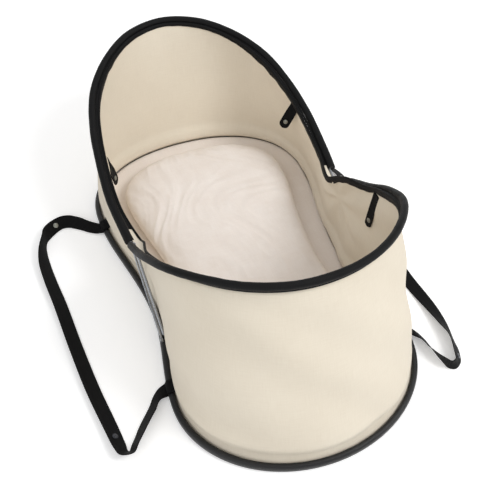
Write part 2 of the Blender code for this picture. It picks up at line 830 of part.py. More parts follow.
def wire_run(sign, reach):
    """The stretch of the base wire beside a pivot, up to the reach on either side."""
    ring = base_loop(BASE_WIRE_INSET, BASE_WIRE_INSET_AT_PIVOT)
    beside = ring[(ring[:, 0] > 0) & (np.abs(ring[:, 1]) < HEAD_REACH / 2)]
    inner = beside[np.abs(beside[:, 1]) < reach]
    ends = [(np.interp(y, beside[:, 1], beside[:, 0]), y) for y in (-reach, reach)]
    run = np.vstack([ends[:1], inner, ends[1:]])
    return np.column_stack([run[:, 0] * sign, run[:, 1], np.full(len(run), BASE_WIRE_HEIGHT)])


def bracket(side, sign):
    """A ferrule on the base wire with a drilled ear for the pivot pin."""
    x = sign * pivot_x(BASE_WIRE_INSET_AT_PIVOT)
    body = wire_run(sign, FERRULE_LENGTH / 2)
    ferrule = to_mesh(curve_object(f"pivot_bracket_{side}", body, FERRULE_RADIUS, WIRE_SIDES_RESOLUTION))
    drop = PIVOT_HEIGHT - BASE_WIRE_HEIGHT
    turns = np.linspace(0.0, math.pi, ROUND_POINTS // 2)
    outline = [(EAR_RADIUS * math.cos(a), EAR_RADIUS * math.sin(a)) for a in turns]
    outline += [(-EAR_RADIUS, -drop), (EAR_RADIUS, -drop)]
    ear = plate_object("ear", [outline, circle(PIN_RADIUS + PIN_CLEARANCE)], EAR_THICKNESS)
    ear.data.transform(Matrix.Translation((0, 0, -EAR_THICKNESS / 2)))
    ear.data.transform(frame_matrix((x, 0.0, PIVOT_HEIGHT), (0.0, 1.0, 0.0), (1.0, 0.0, 0.0)))
    joined = combined(ferrule, [ear], "UNION")
    through = wire_run(sign, FERRULE_LENGTH / 2 + CUT_OVERRUN)
    bore = to_mesh(curve_object("bore", through, WIRE_RADIUS + SEAT_GAP, WIRE_SIDES_RESOLUTION))
    return combined(joined, [bore], "DIFFERENCE")


def build_frame():
    """The hood hoop, the foot hoop, the struts and the pins, and the two tape sleeves."""
    hood_axis = axis_empty("hood_axis", (0.0, 0.0, PIVOT_HEIGHT))
    strut_axis = axis_empty("strut_axis", (0.0, 0.0, PIVOT_HEIGHT))
    hoop_axis = axis_empty("foot_hoop_axis", (0.0, CORNER_FORWARD, CORNER_HEIGHT))
    place(hooped_wire("hood_wire", hood_half(), hood_pivot()), "steel_wire", hood_axis)
    place(sleeve("hood_sleeve", hood_half(), 0.0), "binding", hood_axis)
    place(hooped_wire("foot_wire", foot_half(), foot_half()[0]), "steel_wire", hoop_axis)
    place(sleeve("foot_sleeve", foot_half(), SLEEVE_END_INSET), "binding", hoop_axis)
    for side, sign in (("right", 1.0), ("left", -1.0)):
        place(strut(side, sign), "steel_wire", strut_axis)
        place(bracket(side, sign), "steel_wire")
        inner = strut_pivot()[0] - LUG_THICKNESS / 2
        outer = hood_pivot()[0] + LUG_THICKNESS / 2
        held = sorted((sign * inner, sign * outer))
        place(pin(f"pivot_pin_{side}", *held, 0.0, PIVOT_HEIGHT), "steel_wire")
        inner = strut_top()[0] - LUG_THICKNESS / 2
        outer = FOOT_HOOP_HALF_WIDTH + LUG_THICKNESS / 2
        held = sorted((sign * inner, sign * outer))
        joint = pin(f"corner_pin_{side}", *held, CORNER_FORWARD, CORNER_HEIGHT)
        place(joint, "steel_wire", strut_axis)


# Cloth pieces


def wall_halves():
    """Matching points of the right half: along the wall's foot and along the opening edge."""
    rim, corner, end = rim_half()
    low = base_half(WALL_INSET, WALL_INSET_AT_PIVOT, BASE_POINTS // 2 + 1)
    low = np.column_stack([low, np.full(len(low), WALL_BOTTOM)])
    rim_foot, rest = split_at(rim, corner)
    rim_side, rim_head = split_at(rest, end)
    below_corner = int(np.argmin(np.abs(low[:, 1] - corner[1])))
    below_end = max(int(np.argmin(np.abs(low[:, 1] - end[1]))), below_corner + 1)
    top = np.vstack(
        [
            even_steps(rim_foot, below_corner + 1)[:-1],
            even_steps(rim_side, below_end - below_corner + 1)[:-1],
            even_steps(rim_head, len(low) - below_end),
        ]
    )
    return low, top


def wall_rows():
    """Rows of points up the cloth wall, one row for each station round the base, with soft folds."""
    low, high = wall_halves()
    low, high = mirrored(low)[:-1], mirrored(high)[:-1]
    around = tangents(low, closed=True)
    outward = np.column_stack([around[:, 1], -around[:, 0], np.zeros(len(around))])
    phase = 2 * math.pi * WALL_FOLD_COUNT * np.arange(len(low)) / len(low)
    rows = []
    for k in range(len(low)):
        start = low[k] + (0.0, 0.0, BAND_HEIGHT - WALL_BOTTOM)
        row = [low[k]]
        for share in np.linspace(0.0, 1.0, WALL_ROWS):
            belly = math.sin(math.pi * share)
            swell = belly * (side_share(low[k]) * WALL_BULGE + WALL_FOLD_DEPTH * math.cos(phase[k]) * share)
            row.append(start + (high[k] - start) * share + swell * outward[k])
        rows.append(row)
    return np.array(rows)


def wall_width_at(forward, height):
    """Half the width between the wall's middle surfaces, at a place along the cot and a height."""
    profile = []
    for level in np.swapaxes(wall_rows(), 0, 1):
        right = level[level[:, 0] > 0]
        right = right[np.argsort(right[:, 1])]
        profile.append([np.interp(forward, right[:, 1], right[:, column]) for column in (0, 2)])
    widths, heights = np.array(profile).T
    return float(np.interp(height, heights, widths))


def wall():
    """The cot's cloth wall, from inside the base band up to the opening edge."""
    return orient_outward(thicken(grid_object("cot_wall", wall_rows(), closed=True), CLOTH_THICKNESS))


def side_share(point):
    """How freely the wall can belly out: not beside the struts, fully at the two ends."""
    reach = HEAD_REACH if point[1] > 0 else FOOT_REACH
    return min(1.0, abs(point[1]) / reach) ** 2


def binding():
    """The folded tape over the whole opening edge."""
    stations = wall_rows()
    rim = stations[:, -1]
    along = tangents(rim, closed=True)
    half_fold = CLOTH_THICKNESS / 2 + BINDING_GAP + BINDING_THICKNESS / 2
    rows = []
    for k in range(len(rim)):
        down = stations[k, -2] - rim[k]
        down /= np.linalg.norm(down)
        across = np.cross(along[k], down)
        across /= np.linalg.norm(across)
        down = np.cross(across, along[k])
        top = rim[k] - down * half_fold
        foot = top + down * BINDING_WIDTH
        side = across * half_fold
        rows.append([foot - side, top - side, top + side, foot + side])
    tape = grid_object("opening_binding", rows, closed=True)
    return orient_outward(thicken(tape, BINDING_THICKNESS))


def gusset(side, sign):
    """The small cloth web between the opening edge and the gap from the foot corner to the hood sleeve."""
    _, corner, end = rim_half()
    rim = even_steps(wall_rows()[: BASE_POINTS // 2, -1], DENSE_POINTS)
    beside = (rim[:, 1] > corner[1] + GUSSET_END_GAP) & (rim[:, 1] < end[1] - GUSSET_END_GAP)
    inner = even_steps(rim[beside], GUSSET_ROWS)
    offset = CLOTH_THICKNESS / 2 + BINDING_GAP + BINDING_THICKNESS + GUSSET_GAP
    rows = []
    for k, point in enumerate(inner):
        belly = math.sin(math.pi * k / (GUSSET_ROWS - 1))
        near = point + (offset, 0.0, 0.0)
        far = point + (offset + GUSSET_WIDTH * belly / 2 + GUSSET_WIDTH / 2, 0.0, 0.0)
        middle = (near + far) / 2 - (0.0, 0.0, GUSSET_WIDTH * belly / 4)
        rows.append([near, middle, far])
    sheet = grid_object(f"gusset_{side}", np.array(rows) * (sign, 1.0, 1.0))
    return orient_outward(thicken(sheet, GUSSET_THICKNESS))


def build_cloth():
    """The wall, the binding over its edge and the two gussets."""
    place(wall(), "cotton", smooth_degrees=60.0)
    place(binding(), "binding")
    for side, sign in (("right", 1.0), ("left", -1.0)):
        place(gusset(side, sign), "cotton", smooth_degrees=60.0)


# Tabs, studs and handles


def tab(name, matrix):
    """A webbing tab with a round end and a hole for its stud, hanging down its own -Y axis."""
    half = TAB_WIDTH / 2
    turns = np.linspace(0.0, math.pi, ROUND_POINTS // 2)
    outline = [(-half * math.cos(a), half - TAB_LENGTH - half * math.sin(a)) for a in turns]
    outline += [(half, 0.0), (-half, 0.0)]
    hole = circle(STUD_POST_RADIUS + PIN_CLEARANCE, (0.0, TAB_STUD_INSET - TAB_LENGTH))
    plate = plate_object(name, [outline, hole], TAB_THICKNESS)
    plate.data.transform(Matrix.Translation((0, 0, -TAB_THICKNESS / 2)))
    plate.data.transform(matrix)
    return plate


def stud(name, thickness, gap, matrix):
    """A press stud through webbing: a domed cap on one side, a post and a thin flange on the other."""
    reach = thickness / 2 + gap
    cap_rise = STUD_CAP_HEIGHT / 2
    profile = (
        (0.0, reach + STUD_CAP_HEIGHT),
        (STUD_CAP_RADIUS / 2, reach + STUD_CAP_HEIGHT),
        (STUD_CAP_RADIUS, reach + cap_rise),
        (STUD_CAP_RADIUS, reach),
        (STUD_POST_RADIUS, reach),
        (STUD_POST_RADIUS, -reach),
        (STUD_FLANGE_RADIUS, -reach),
        (STUD_FLANGE_RADIUS, -reach - STUD_FLANGE_THICKNESS),
        (0.0, -reach - STUD_FLANGE_THICKNESS),
    )
    return turned(name, profile, matrix)


def tab_matrix(point, along, sign):
    """Where a tab hangs: its width along the wall and its face towards the middle of the cot."""
    flat = Vector(along) * -sign
    return frame_matrix(point, flat, flat.cross(Vector((0.0, 0.0, 1.0))))


def tab_place(half, forward):
    """Where a tab hangs on the right, against the binding, and the wall's level direction there."""
    dense = even_steps(half, DENSE_POINTS)
    height = dense[int(np.argmin(np.abs(dense[:, 1] - forward)))][2] - SLEEVE_RADIUS - TAB_DROP
    widths = [wall_width_at(forward + step, height) for step in (-TAB_WIDTH / 2, 0.0, TAB_WIDTH / 2)]
    inside = CLOTH_THICKNESS / 2 + BINDING_GAP + BINDING_THICKNESS + TAB_GAP + TAB_THICKNESS / 2
    along = np.array([widths[2] - widths[0], TAB_WIDTH, 0.0])
    middle = min(widths[1], (widths[0] + widths[2]) / 2)
    return np.array([middle - inside, forward, height]), along / np.linalg.norm(along)


def build_tabs():
    """Two snap tabs on the hood and two on the foot end, each with its stud."""
    hoops = (
        ("hood", hood_half(), HOOD_TAB_FORWARD),
        ("foot", foot_half(), FOOT_TAB_FORWARD),
    )
    for hoop, half, forward in hoops:
        point, along = tab_place(half, forward)
        for side, sign in (("right", 1.0), ("left", -1.0)):
            hung = point * (sign, 1.0, 1.0)
            axis = axis_empty(f"{hoop}_tab_axis_{side}", hung)
            matrix = tab_matrix(hung, along * (sign, 1.0, 1.0), sign)
            place(tab(f"{hoop}_tab_{side}", matrix), "webbing", axis)
            shift = Matrix.Translation((0, TAB_STUD_INSET - TAB_LENGTH, 0))
            button = stud(f"{hoop}_tab_stud_{side}", TAB_THICKNESS, SEAT_GAP, matrix @ shift)
            place(button, "stud_metal", axis)


def handle_axis(side, sign):
    """The two ends of a handle's swing axis, just outside the base band."""
    ends = []
    for forward in (HANDLE_HEAD_ANCHOR, HANDLE_FOOT_ANCHORS[side]):
        beside = sign * (base_width_at(forward) + HANDLE_AXIS_OFFSET)
        ends.append(np.array([beside, forward, HANDLE_END_HEIGHT]))
    return ends


def band_direction(forward, sign):
    """The level direction of the base band's outer face where a strap is sewn to it."""
    half = WEBBING_WIDTH / 2
    across = base_width_at(forward + half) - base_width_at(forward - half)
    along = np.array([sign * across, WEBBING_WIDTH, 0.0])
    return along / np.linalg.norm(along)


def handle_path(side, sign):
    """The centre line of a handle, with its roll about that line at each point."""
    head, foot = handle_axis(side, sign)
    route = np.array(HANDLE_ROUTE_SHARES[side])
    flat = []
    for k, (out, along, roll) in enumerate(route):
        base = head + (foot - head) * along
        sewn = k in (0, len(route) - 1)
        reach = HANDLE_BAND_GAP - HANDLE_AXIS_OFFSET if sewn else out * HANDLE_REACH
        flat.append((base[0] + sign * reach, base[1], math.radians(roll)))
    path = cubic_through(flat, HANDLE_POINTS, measured=2)
    rolls = path[:, 2]
    lowest = WEBBING_WIDTH / 2 * np.abs(np.sin(rolls)) + WEBBING_THICKNESS / 2 * np.cos(rolls) + FLOOR_GAP
    height = head[2]
    reach = np.abs(np.abs(path[:, 0]) - np.abs(np.interp(path[:, 1], [foot[1], head[1]], [foot[0], head[0]])))
    ease = np.clip(reach / (HANDLE_REACH / 4), 0.0, 1.0)
    ends = np.minimum(np.arange(HANDLE_POINTS), np.arange(HANDLE_POINTS)[::-1]) < HANDLE_POINTS // 8
    ease = np.where(ends, ease**2 * (3 - 2 * ease), 1.0)
    lifted = np.maximum(height * (1 - ease) + lowest * ease, lowest)
    return np.column_stack([path[:, :2], lifted]), rolls


def handle(side, sign):
    """One webbing handle lying on the floor, and the places of its two studs."""
    path, rolls = handle_path(side, sign)
    along = tangents(path)
    along[:, 2] = 0.0
    along /= np.linalg.norm(along, axis=1)[:, None]
    head_edge = band_direction(HANDLE_HEAD_ANCHOR, sign)
    foot_edge = band_direction(HANDLE_FOOT_ANCHORS[side], sign)
    rows = []
    frames = []
    for k, (point, direction, roll) in enumerate(zip(path, along, rolls)):
        across = np.cross(direction, (0.0, 0.0, 1.0))
        from_end = min(k, len(path) - 1 - k) / (len(path) // 8)
        if from_end < 1:
            edge = head_edge if k < len(path) / 2 else foot_edge
            target = edge if np.dot(edge, across) > 0 else -edge
            across = across * from_end + target * (1 - from_end)
            across /= np.linalg.norm(across)
        raised = across * math.cos(roll) + np.array([0.0, 0.0, 1.0]) * math.sin(roll)
        half_width = raised * WEBBING_WIDTH / 2
        rows.append([point - half_width, point + half_width])
        frames.append((point, direction, raised))
    strap = orient_outward(thicken(grid_object(f"handle_{side}", rows), WEBBING_THICKNESS))
    places = []
    cutters = []
    for share in HANDLE_STUD_SHARES[side]:
        point, direction, raised = frames[int(round(share * (len(frames) - 1)))]
        up = np.cross(direction, raised)
        up = up if up[2] > 0 else -up
        places.append(frame_matrix(point, direction, up))
        reach = up * (WEBBING_THICKNESS + CUT_OVERRUN)
        cutters.append(cylinder("hole", STUD_POST_RADIUS + PIN_CLEARANCE, point - reach, point + reach))
    return combined(strap, cutters, "DIFFERENCE"), places


def patch(name, sign, forward):
    """A sewn webbing patch on the wall's outer face, above the handle's end."""
    lower = BAND_HEIGHT + PATCH_RAISE
    outside = CLOTH_THICKNESS / 2 + PATCH_WALL_GAP + PATCH_THICKNESS / 2
    half_width = WEBBING_WIDTH / 2
    rows = []
    for share in (-1.0, -0.5, 0.0, 0.5, 1.0):
        y = forward + share * half_width
        row = [(wall_width_at(y, z) + outside, y, z) for z in (lower, lower + PATCH_HEIGHT)]
        rows.append([(sign * x, y, z) for x, y, z in row])
    return orient_outward(thicken(grid_object(name, rows), PATCH_THICKNESS))


def build_handles():
    """The two carrying handles with their studs, and the patches over their ends."""
    for side, sign in (("right", 1.0), ("left", -1.0)):
        strap, places = handle(side, sign)
        axis = axis_empty(f"handle_axis_{side}", handle_axis(side, sign)[0])
        place(strap, "webbing", axis)
        for end, matrix in zip(("head", "foot"), places):
            held = stud(f"handle_stud_{end}_{side}", WEBBING_THICKNESS, HANDLE_STUD_GAP, matrix)
            place(held, "stud_metal", axis)
        place(patch(f"handle_patch_head_{side}", sign, HANDLE_HEAD_ANCHOR), "webbing")
        place(patch(f"handle_patch_foot_{side}", sign, HANDLE_FOOT_ANCHORS[side]), "webbing")


def build():
    """Builds the whole carrycot."""
    clear_scene()
    build_base()
    build_frame()
    build_cloth()
    build_tabs()
    build_handles()


build()
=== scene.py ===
"""Looks of a soft carrycot: cream canvas on a folding frame of steel wire, with black webbing handles.

Everything is in metres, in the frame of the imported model: +Z up, +X across the cot, +Y towards its
head end. Each sub-assembly is a class that holds its sizes, builds its meshes and dresses them.
"""

import logging
import math
from dataclasses import dataclass
from enum import Enum
from typing import Any, Callable, Iterable, Optional, Sequence

import bmesh
import bpy
import numpy as np
from mathutils import Matrix, Vector, noise


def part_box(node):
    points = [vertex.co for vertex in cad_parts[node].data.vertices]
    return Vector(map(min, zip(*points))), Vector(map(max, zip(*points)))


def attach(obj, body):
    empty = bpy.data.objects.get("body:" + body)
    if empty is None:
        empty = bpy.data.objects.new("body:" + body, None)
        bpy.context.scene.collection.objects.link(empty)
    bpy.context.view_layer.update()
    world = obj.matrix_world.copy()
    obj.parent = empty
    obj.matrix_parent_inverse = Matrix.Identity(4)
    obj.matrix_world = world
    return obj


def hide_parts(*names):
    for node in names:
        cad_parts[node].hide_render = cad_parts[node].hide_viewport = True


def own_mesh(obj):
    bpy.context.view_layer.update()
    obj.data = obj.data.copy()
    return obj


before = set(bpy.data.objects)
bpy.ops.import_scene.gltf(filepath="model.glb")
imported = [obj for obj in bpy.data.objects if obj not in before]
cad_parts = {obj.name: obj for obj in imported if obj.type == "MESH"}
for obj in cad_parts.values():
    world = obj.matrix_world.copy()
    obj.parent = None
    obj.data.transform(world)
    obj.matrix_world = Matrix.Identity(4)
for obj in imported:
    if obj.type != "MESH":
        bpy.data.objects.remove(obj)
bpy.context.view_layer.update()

LOG = logging.getLogger("carrycot")
MM = 0.001

# Points closer than the weld gap are one. The opening's middle lies this far towards the head end.
WELD_GAP = 0.01 * MM
OPENING_MIDDLE = 0.12

# The least angle that is rounded, and the most that two triangles tilt or skew and still become one face.
STRAP_EDGE_ANGLE = math.radians(60)
WIRE_EDGE_ANGLE = math.radians(50)
JOIN_TILT = 0.6
JOIN_SKEW = 1.2

Points = np.ndarray
Colour = tuple[float, float, float, float]


class Side(Enum):
    """A side of the cot, seen from its foot end; the value is the sign of X there."""

    LEFT = -1.0
    RIGHT = 1.0

    @property
    def word(self) -> str:
        """The side's name as node names end in it."""
        return self.name.lower()


# Runs of points


def even_steps(curve: Points, count: int, measured: int = 3) -> Points:
    """Takes points at equal distances along a run.

    Args:
        curve: The run, one row for each point.
        count: How many points to take.
        measured: How many of the first columns the distance is measured over.

    Returns:
        The new run.
    """
    steps = np.linalg.norm(np.diff(curve[:, :measured], axis=0), axis=1)
    length = np.concatenate([[0.0], np.cumsum(steps)])
    wanted = np.linspace(0.0, length[-1], count)
    return np.column_stack([np.interp(wanted, length, column) for column in curve.T])


def smooth_line(points: Sequence[Sequence[float]], count: int, measured: int = 3, dense: int = 720) -> Points:
    """Draws a smooth curve through a few points.

    Args:
        points: The points that it passes through.
        count: How many even steps to return.
        measured: How many of the first columns the distance is measured over.
        dense: How finely the curve is worked out.

    Returns:
        The curve, one row for each point.
    """
    given = np.array(points, float)
    steps = np.linalg.norm(np.diff(given[:, :measured], axis=0), axis=1)
    knots = np.concatenate([[0.0], np.cumsum(steps)])
    along = np.linspace(0.0, knots[-1], dense)
    slopes = np.gradient(given, knots, axis=0)
    span = np.clip(np.searchsorted(knots, along, side="right") - 1, 0, len(knots) - 2)
    length = (knots[span + 1] - knots[span])[:, None]
    t = (along - knots[span])[:, None] / length
    curve = (
        (2 * t**3 - 3 * t**2 + 1) * given[span]
        + (t**3 - 2 * t**2 + t) * length * slopes[span]
        + (3 * t**2 - 2 * t**3) * given[span + 1]
        + (t**3 - t**2) * length * slopes[span + 1]
    )
    return even_steps(curve, count, measured)


def mirrored(half: Points) -> Points:
    """Makes a whole run from its right half, which ends on the middle plane."""
    left = half[:-1].copy()
    left[:, 0] *= -1.0
    return np.vstack([half, left[::-1]])


def directions(points: Points, closed: bool = False) -> Points:
    """Gives the unit direction along a run at each of its points."""
    if closed:
        along = np.roll(points, -1, axis=0) - np.roll(points, 1, axis=0)
    else:
        along = np.gradient(points, axis=0)
    return along / np.linalg.norm(along, axis=1)[:, None]


def distances(points: Points) -> Points:
    """Gives the distance from the start of a run to each of its points."""
    return np.concatenate([[0.0], np.cumsum(np.linalg.norm(np.diff(points, axis=0), axis=1))])


def finer(grid: Points, factor: int, closed: bool = False) -> Points:
    """Puts smooth in-between rows into a grid of points.

    Args:
        grid: Rows of points, or of rows.
        factor: How many steps each old step becomes.
        closed: Whether the last row joins the first.

    Returns:
        The grid with its first axis made finer.
    """
    if closed:
        before, here = np.roll(grid, 1, axis=0), grid
        after, beyond = np.roll(grid, -1, axis=0), np.roll(grid, -2, axis=0)
    else:
        padded = np.concatenate([2 * grid[:1] - grid[1:2], grid, 2 * grid[-1:] - grid[-2:-1]])
        before, here, after, beyond = padded[:-3], padded[1:-2], padded[2:-1], padded[3:]
    rows = []
    for k in range(len(here)):
        for step in range(factor):
            t = step / factor
            rows.append(
                0.5
                * (
                    2 * here[k]
                    + (after[k] - before[k]) * t
                    + (2 * before[k] - 5 * here[k] + 4 * after[k] - beyond[k]) * t**2
                    + (3 * here[k] - before[k] - 3 * after[k] + beyond[k]) * t**3
                )
            )
    if not closed:
        rows.append(grid[-1])
    return np.array(rows)


def ripple(place: Sequence[float], pitch: float, octaves: int = 1) -> float:
    """Gives smooth noise at a place.

    Args:
        place: The point, in metres.
        pitch: About how far apart its waves lie, in metres.
        octaves: How many finer waves are added, each half as strong.

    Returns:
        A value from about -1 to 1.
    """
    total, share = 0.0, 1.0
    spot = Vector(place) / pitch
    for _ in range(octaves):
        total += noise.noise(spot) * share
        spot = spot * 2.03 + Vector((11.3, 5.7, 3.1))
        share *= 0.5
    return total


# Meshes


def mesh_piece(
    name: str, verts: Iterable[Sequence[float]], faces: Iterable[Sequence[int]]
) -> bpy.types.Object:
    """Makes an object from points and faces, shaded smooth, and links it."""
    mesh = bpy.data.meshes.new(name)
    mesh.from_pydata([tuple(map(float, v)) for v in verts], [], [tuple(map(int, f)) for f in faces])
    mesh.update()
    mesh.shade_smooth()
    piece = bpy.data.objects.new(name, mesh)
    bpy.context.scene.collection.objects.link(piece)
    return piece


def paint_uv(piece: bpy.types.Object, places: Points, seam: float = 0.0) -> None:
    """Writes a UV map in metres from one place for each vertex, in place of any older one.

    Args:
        piece: The object.
        places: U along the cloth and V across it, one row for each vertex.
        seam: The length of a closed run, where U starts again, or nothing.
    """
    for old in list(piece.data.uv_layers):
        piece.data.uv_layers.remove(old)
    layer = piece.data.uv_layers.new(name="cloth_metres")
    for face in piece.data.polygons:
        us = [places[piece.data.loops[i].vertex_index][0] for i in face.loop_indices]
        wraps = seam > 0 and max(us) - min(us) > seam / 2
        for i, u in zip(face.loop_indices, us):
            v = places[piece.data.loops[i].vertex_index][1]
            layer.data[i].uv = (u + seam if wraps and u < seam / 2 else u, v)


def loft(
    name: str,
    rows: Points,
    closed_along: bool = False,
    closed_across: bool = False,
    capped: bool = False,
) -> bpy.types.Object:
    """Makes a surface through rows of points, with U and V in metres.

    Args:
        name: The object's name.
        rows: Rows of points, each row across the surface.
        closed_along: Whether the last row joins the first.
        closed_across: Whether each row is a ring.
        capped: Whether the first and last rings are filled.

    Returns:
        The new object.
    """
    rows = np.asarray(rows, float)
    count, width = rows.shape[:2]
    faces = []
    for k in range(count if closed_along else count - 1):
        nxt = (k + 1) % count
        for i in range(width if closed_across else width - 1):
            j = (i + 1) % width
            faces.append((k * width + i, k * width + j, nxt * width + j, nxt * width + i))
    if capped:
        faces.append(tuple(reversed(range(width))))
        faces.append(tuple((count - 1) * width + i for i in range(width)))
    piece = mesh_piece(name, rows.reshape(-1, 3), faces)
    middle = rows.mean(axis=1)
    along = distances(middle)
    around = np.linalg.norm(middle[0] - middle[-1]) + along[-1] if closed_along else 0.0
    across = np.concatenate(
        [np.zeros((count, 1)), np.cumsum(np.linalg.norm(np.diff(rows, axis=1), axis=2), axis=1)], axis=1
    )
    paint_uv(piece, np.column_stack([np.repeat(along, width), across.reshape(-1)]), around)
    return piece


def face_outwards(piece: bpy.types.Object) -> bpy.types.Object:
    """Turns a closed surface's faces outwards."""
    work = bmesh.new()
    work.from_mesh(piece.data)
    bmesh.ops.recalc_face_normals(work, faces=work.faces)
    work.to_mesh(piece.data)
    work.free()
    return piece


def settled(piece: bpy.types.Object) -> bpy.types.Object:
    """Applies an object's modifiers, so that its mesh is what shows."""
    bpy.context.view_layer.update()
    graph = bpy.context.evaluated_depsgraph_get()
    mesh = bpy.data.meshes.new_from_object(piece.evaluated_get(graph))
    piece.modifiers.clear()
    piece.data = mesh
    mesh.shade_smooth()
    return piece


def thickened(piece: bpy.types.Object, thickness: float, two_faced: bool = False) -> bpy.types.Object:
    """Gives a sheet its thickness, half to each side.

    Args:
        piece: The sheet.
        thickness: How thick it becomes.
        two_faced: Whether its back takes the piece's second material.

    Returns:
        The same object.
    """
    body = piece.modifiers.new("thickness", "SOLIDIFY")
    body.thickness = thickness
    body.offset = 0.0
    body.material_offset = 1 if two_faced else 0
    body.use_even_offset = False
    return settled(piece)


def subdivided(piece: bpy.types.Object, levels: int) -> bpy.types.Object:
    """Makes a mesh finer and rounder."""
    fine = piece.modifiers.new("finer", "SUBSURF")
    fine.levels = levels
    fine.render_levels = levels
    return settled(piece)


def edge_rounded(piece: bpy.types.Object, width: float) -> bpy.types.Object:
    """Rounds the sharp edges of a webbing strap by a small width."""
    edge = piece.modifiers.new("edge", "BEVEL")
    edge.width = width
    edge.segments = 2
    edge.limit_method = "ANGLE"
    edge.angle_limit = STRAP_EDGE_ANGLE
    return settled(piece)


def one_side_area(cloth: bpy.types.Object) -> float:
    """Gives the area of one side of a thin sheet, in square metres, and logs it."""
    area = sum(face.area for face in cloth.data.polygons) / 2
    LOG.info("%s: %.5f square metres on one side", cloth.name, area)
    return area


def copy_of_node(node: str, name: str) -> bpy.types.Object:
    """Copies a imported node's mesh as clean faces of four sides, to be made finer.

    Args:
        node: The node's name.
        name: The new object's name.

    Returns:
        The new object, welded.
    """
    work = bmesh.new()
    work.from_mesh(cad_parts[node].data)
    bmesh.ops.remove_doubles(work, verts=work.verts, dist=WELD_GAP)
    bmesh.ops.join_triangles(
        work, faces=work.faces, angle_face_threshold=JOIN_TILT, angle_shape_threshold=JOIN_SKEW
    )
    bmesh.ops.recalc_face_normals(work, faces=work.faces)
    mesh = bpy.data.meshes.new(name)
    work.to_mesh(mesh)
    work.free()
    mesh.shade_smooth()
    piece = bpy.data.objects.new(name, mesh)
    bpy.context.scene.collection.objects.link(piece)
    return piece


def moved_points(piece: bpy.types.Object, shift: Callable[[Vector, Vector], Vector]) -> bpy.types.Object:
    """Moves each vertex by what a function of its place and normal gives."""
    for vertex in piece.data.vertices:
        vertex.co += shift(vertex.co, vertex.normal)
    piece.data.update()
    return piece


# Finishes


def linear(code: str) -> Colour:
    """Turns an sRGB hex value into a linear colour.

    Args:
        code: The colour as six hex digits after a hash sign.

    Returns:
        Linear red, green, blue and an alpha of one.
    """
    parts = [int(code[i : i + 2], 16) / 255 for i in (1, 3, 5)]
    red, green, blue = (c / 12.92 if c <= 0.04045 else ((c + 0.055) / 1.055) ** 2.4 for c in parts)
    return red, green, blue, 1.0


def wave_scale(pitch_mm: float) -> float:
    """Gives the Wave texture's scale for bands at a pitch in millimetres on a map in metres."""
    return math.pi / 10 / (pitch_mm * MM)


def noise_scale(size_mm: float) -> float:
    """Gives the Noise texture's scale for features of a size in millimetres on a map in metres."""
    return 1.0 / (size_mm * MM)


def add_node(
    tree: bpy.types.NodeTree,
    kind: str,
    settings: Optional[dict[str, Any]] = None,
    inputs: Optional[dict[Any, Any]] = None,
) -> bpy.types.Node:
    """Adds a shader node with its settings, values and links.

    Args:
        tree: The material's or world's node tree.
        kind: The node's type name.
        settings: Values of the node's own properties.
        inputs: For each input, a value or the output socket that feeds it.

    Returns:
        The new node.
    """
    node = tree.nodes.new(kind)
    for key, value in (settings or {}).items():
        setattr(node, key, value)
    for key, value in (inputs or {}).items():
        if isinstance(value, bpy.types.NodeSocket):
            tree.links.new(value, node.inputs[key])
        else:
            node.inputs[key].default_value = value
    return node


@dataclass(frozen=True)
class Finish:
    """What every finish shares: a name and a way to become a material."""

    name: str

    def surface(self, tree: bpy.types.NodeTree) -> bpy.types.NodeSocket:
        """Builds the finish's shader and gives its output socket."""
        raise NotImplementedError

    def material(self) -> bpy.types.Material:
        """Gives the material, made once for each name."""
        known = bpy.data.materials.get(self.name)
        if known is not None:
            return known
        made = bpy.data.materials.new(self.name)
        made.use_nodes = True
        tree = made.node_tree
        tree.nodes.clear()
        shader = self.surface(tree)
        add_node(tree, "ShaderNodeOutputMaterial", inputs={"Surface": shader})
        return made


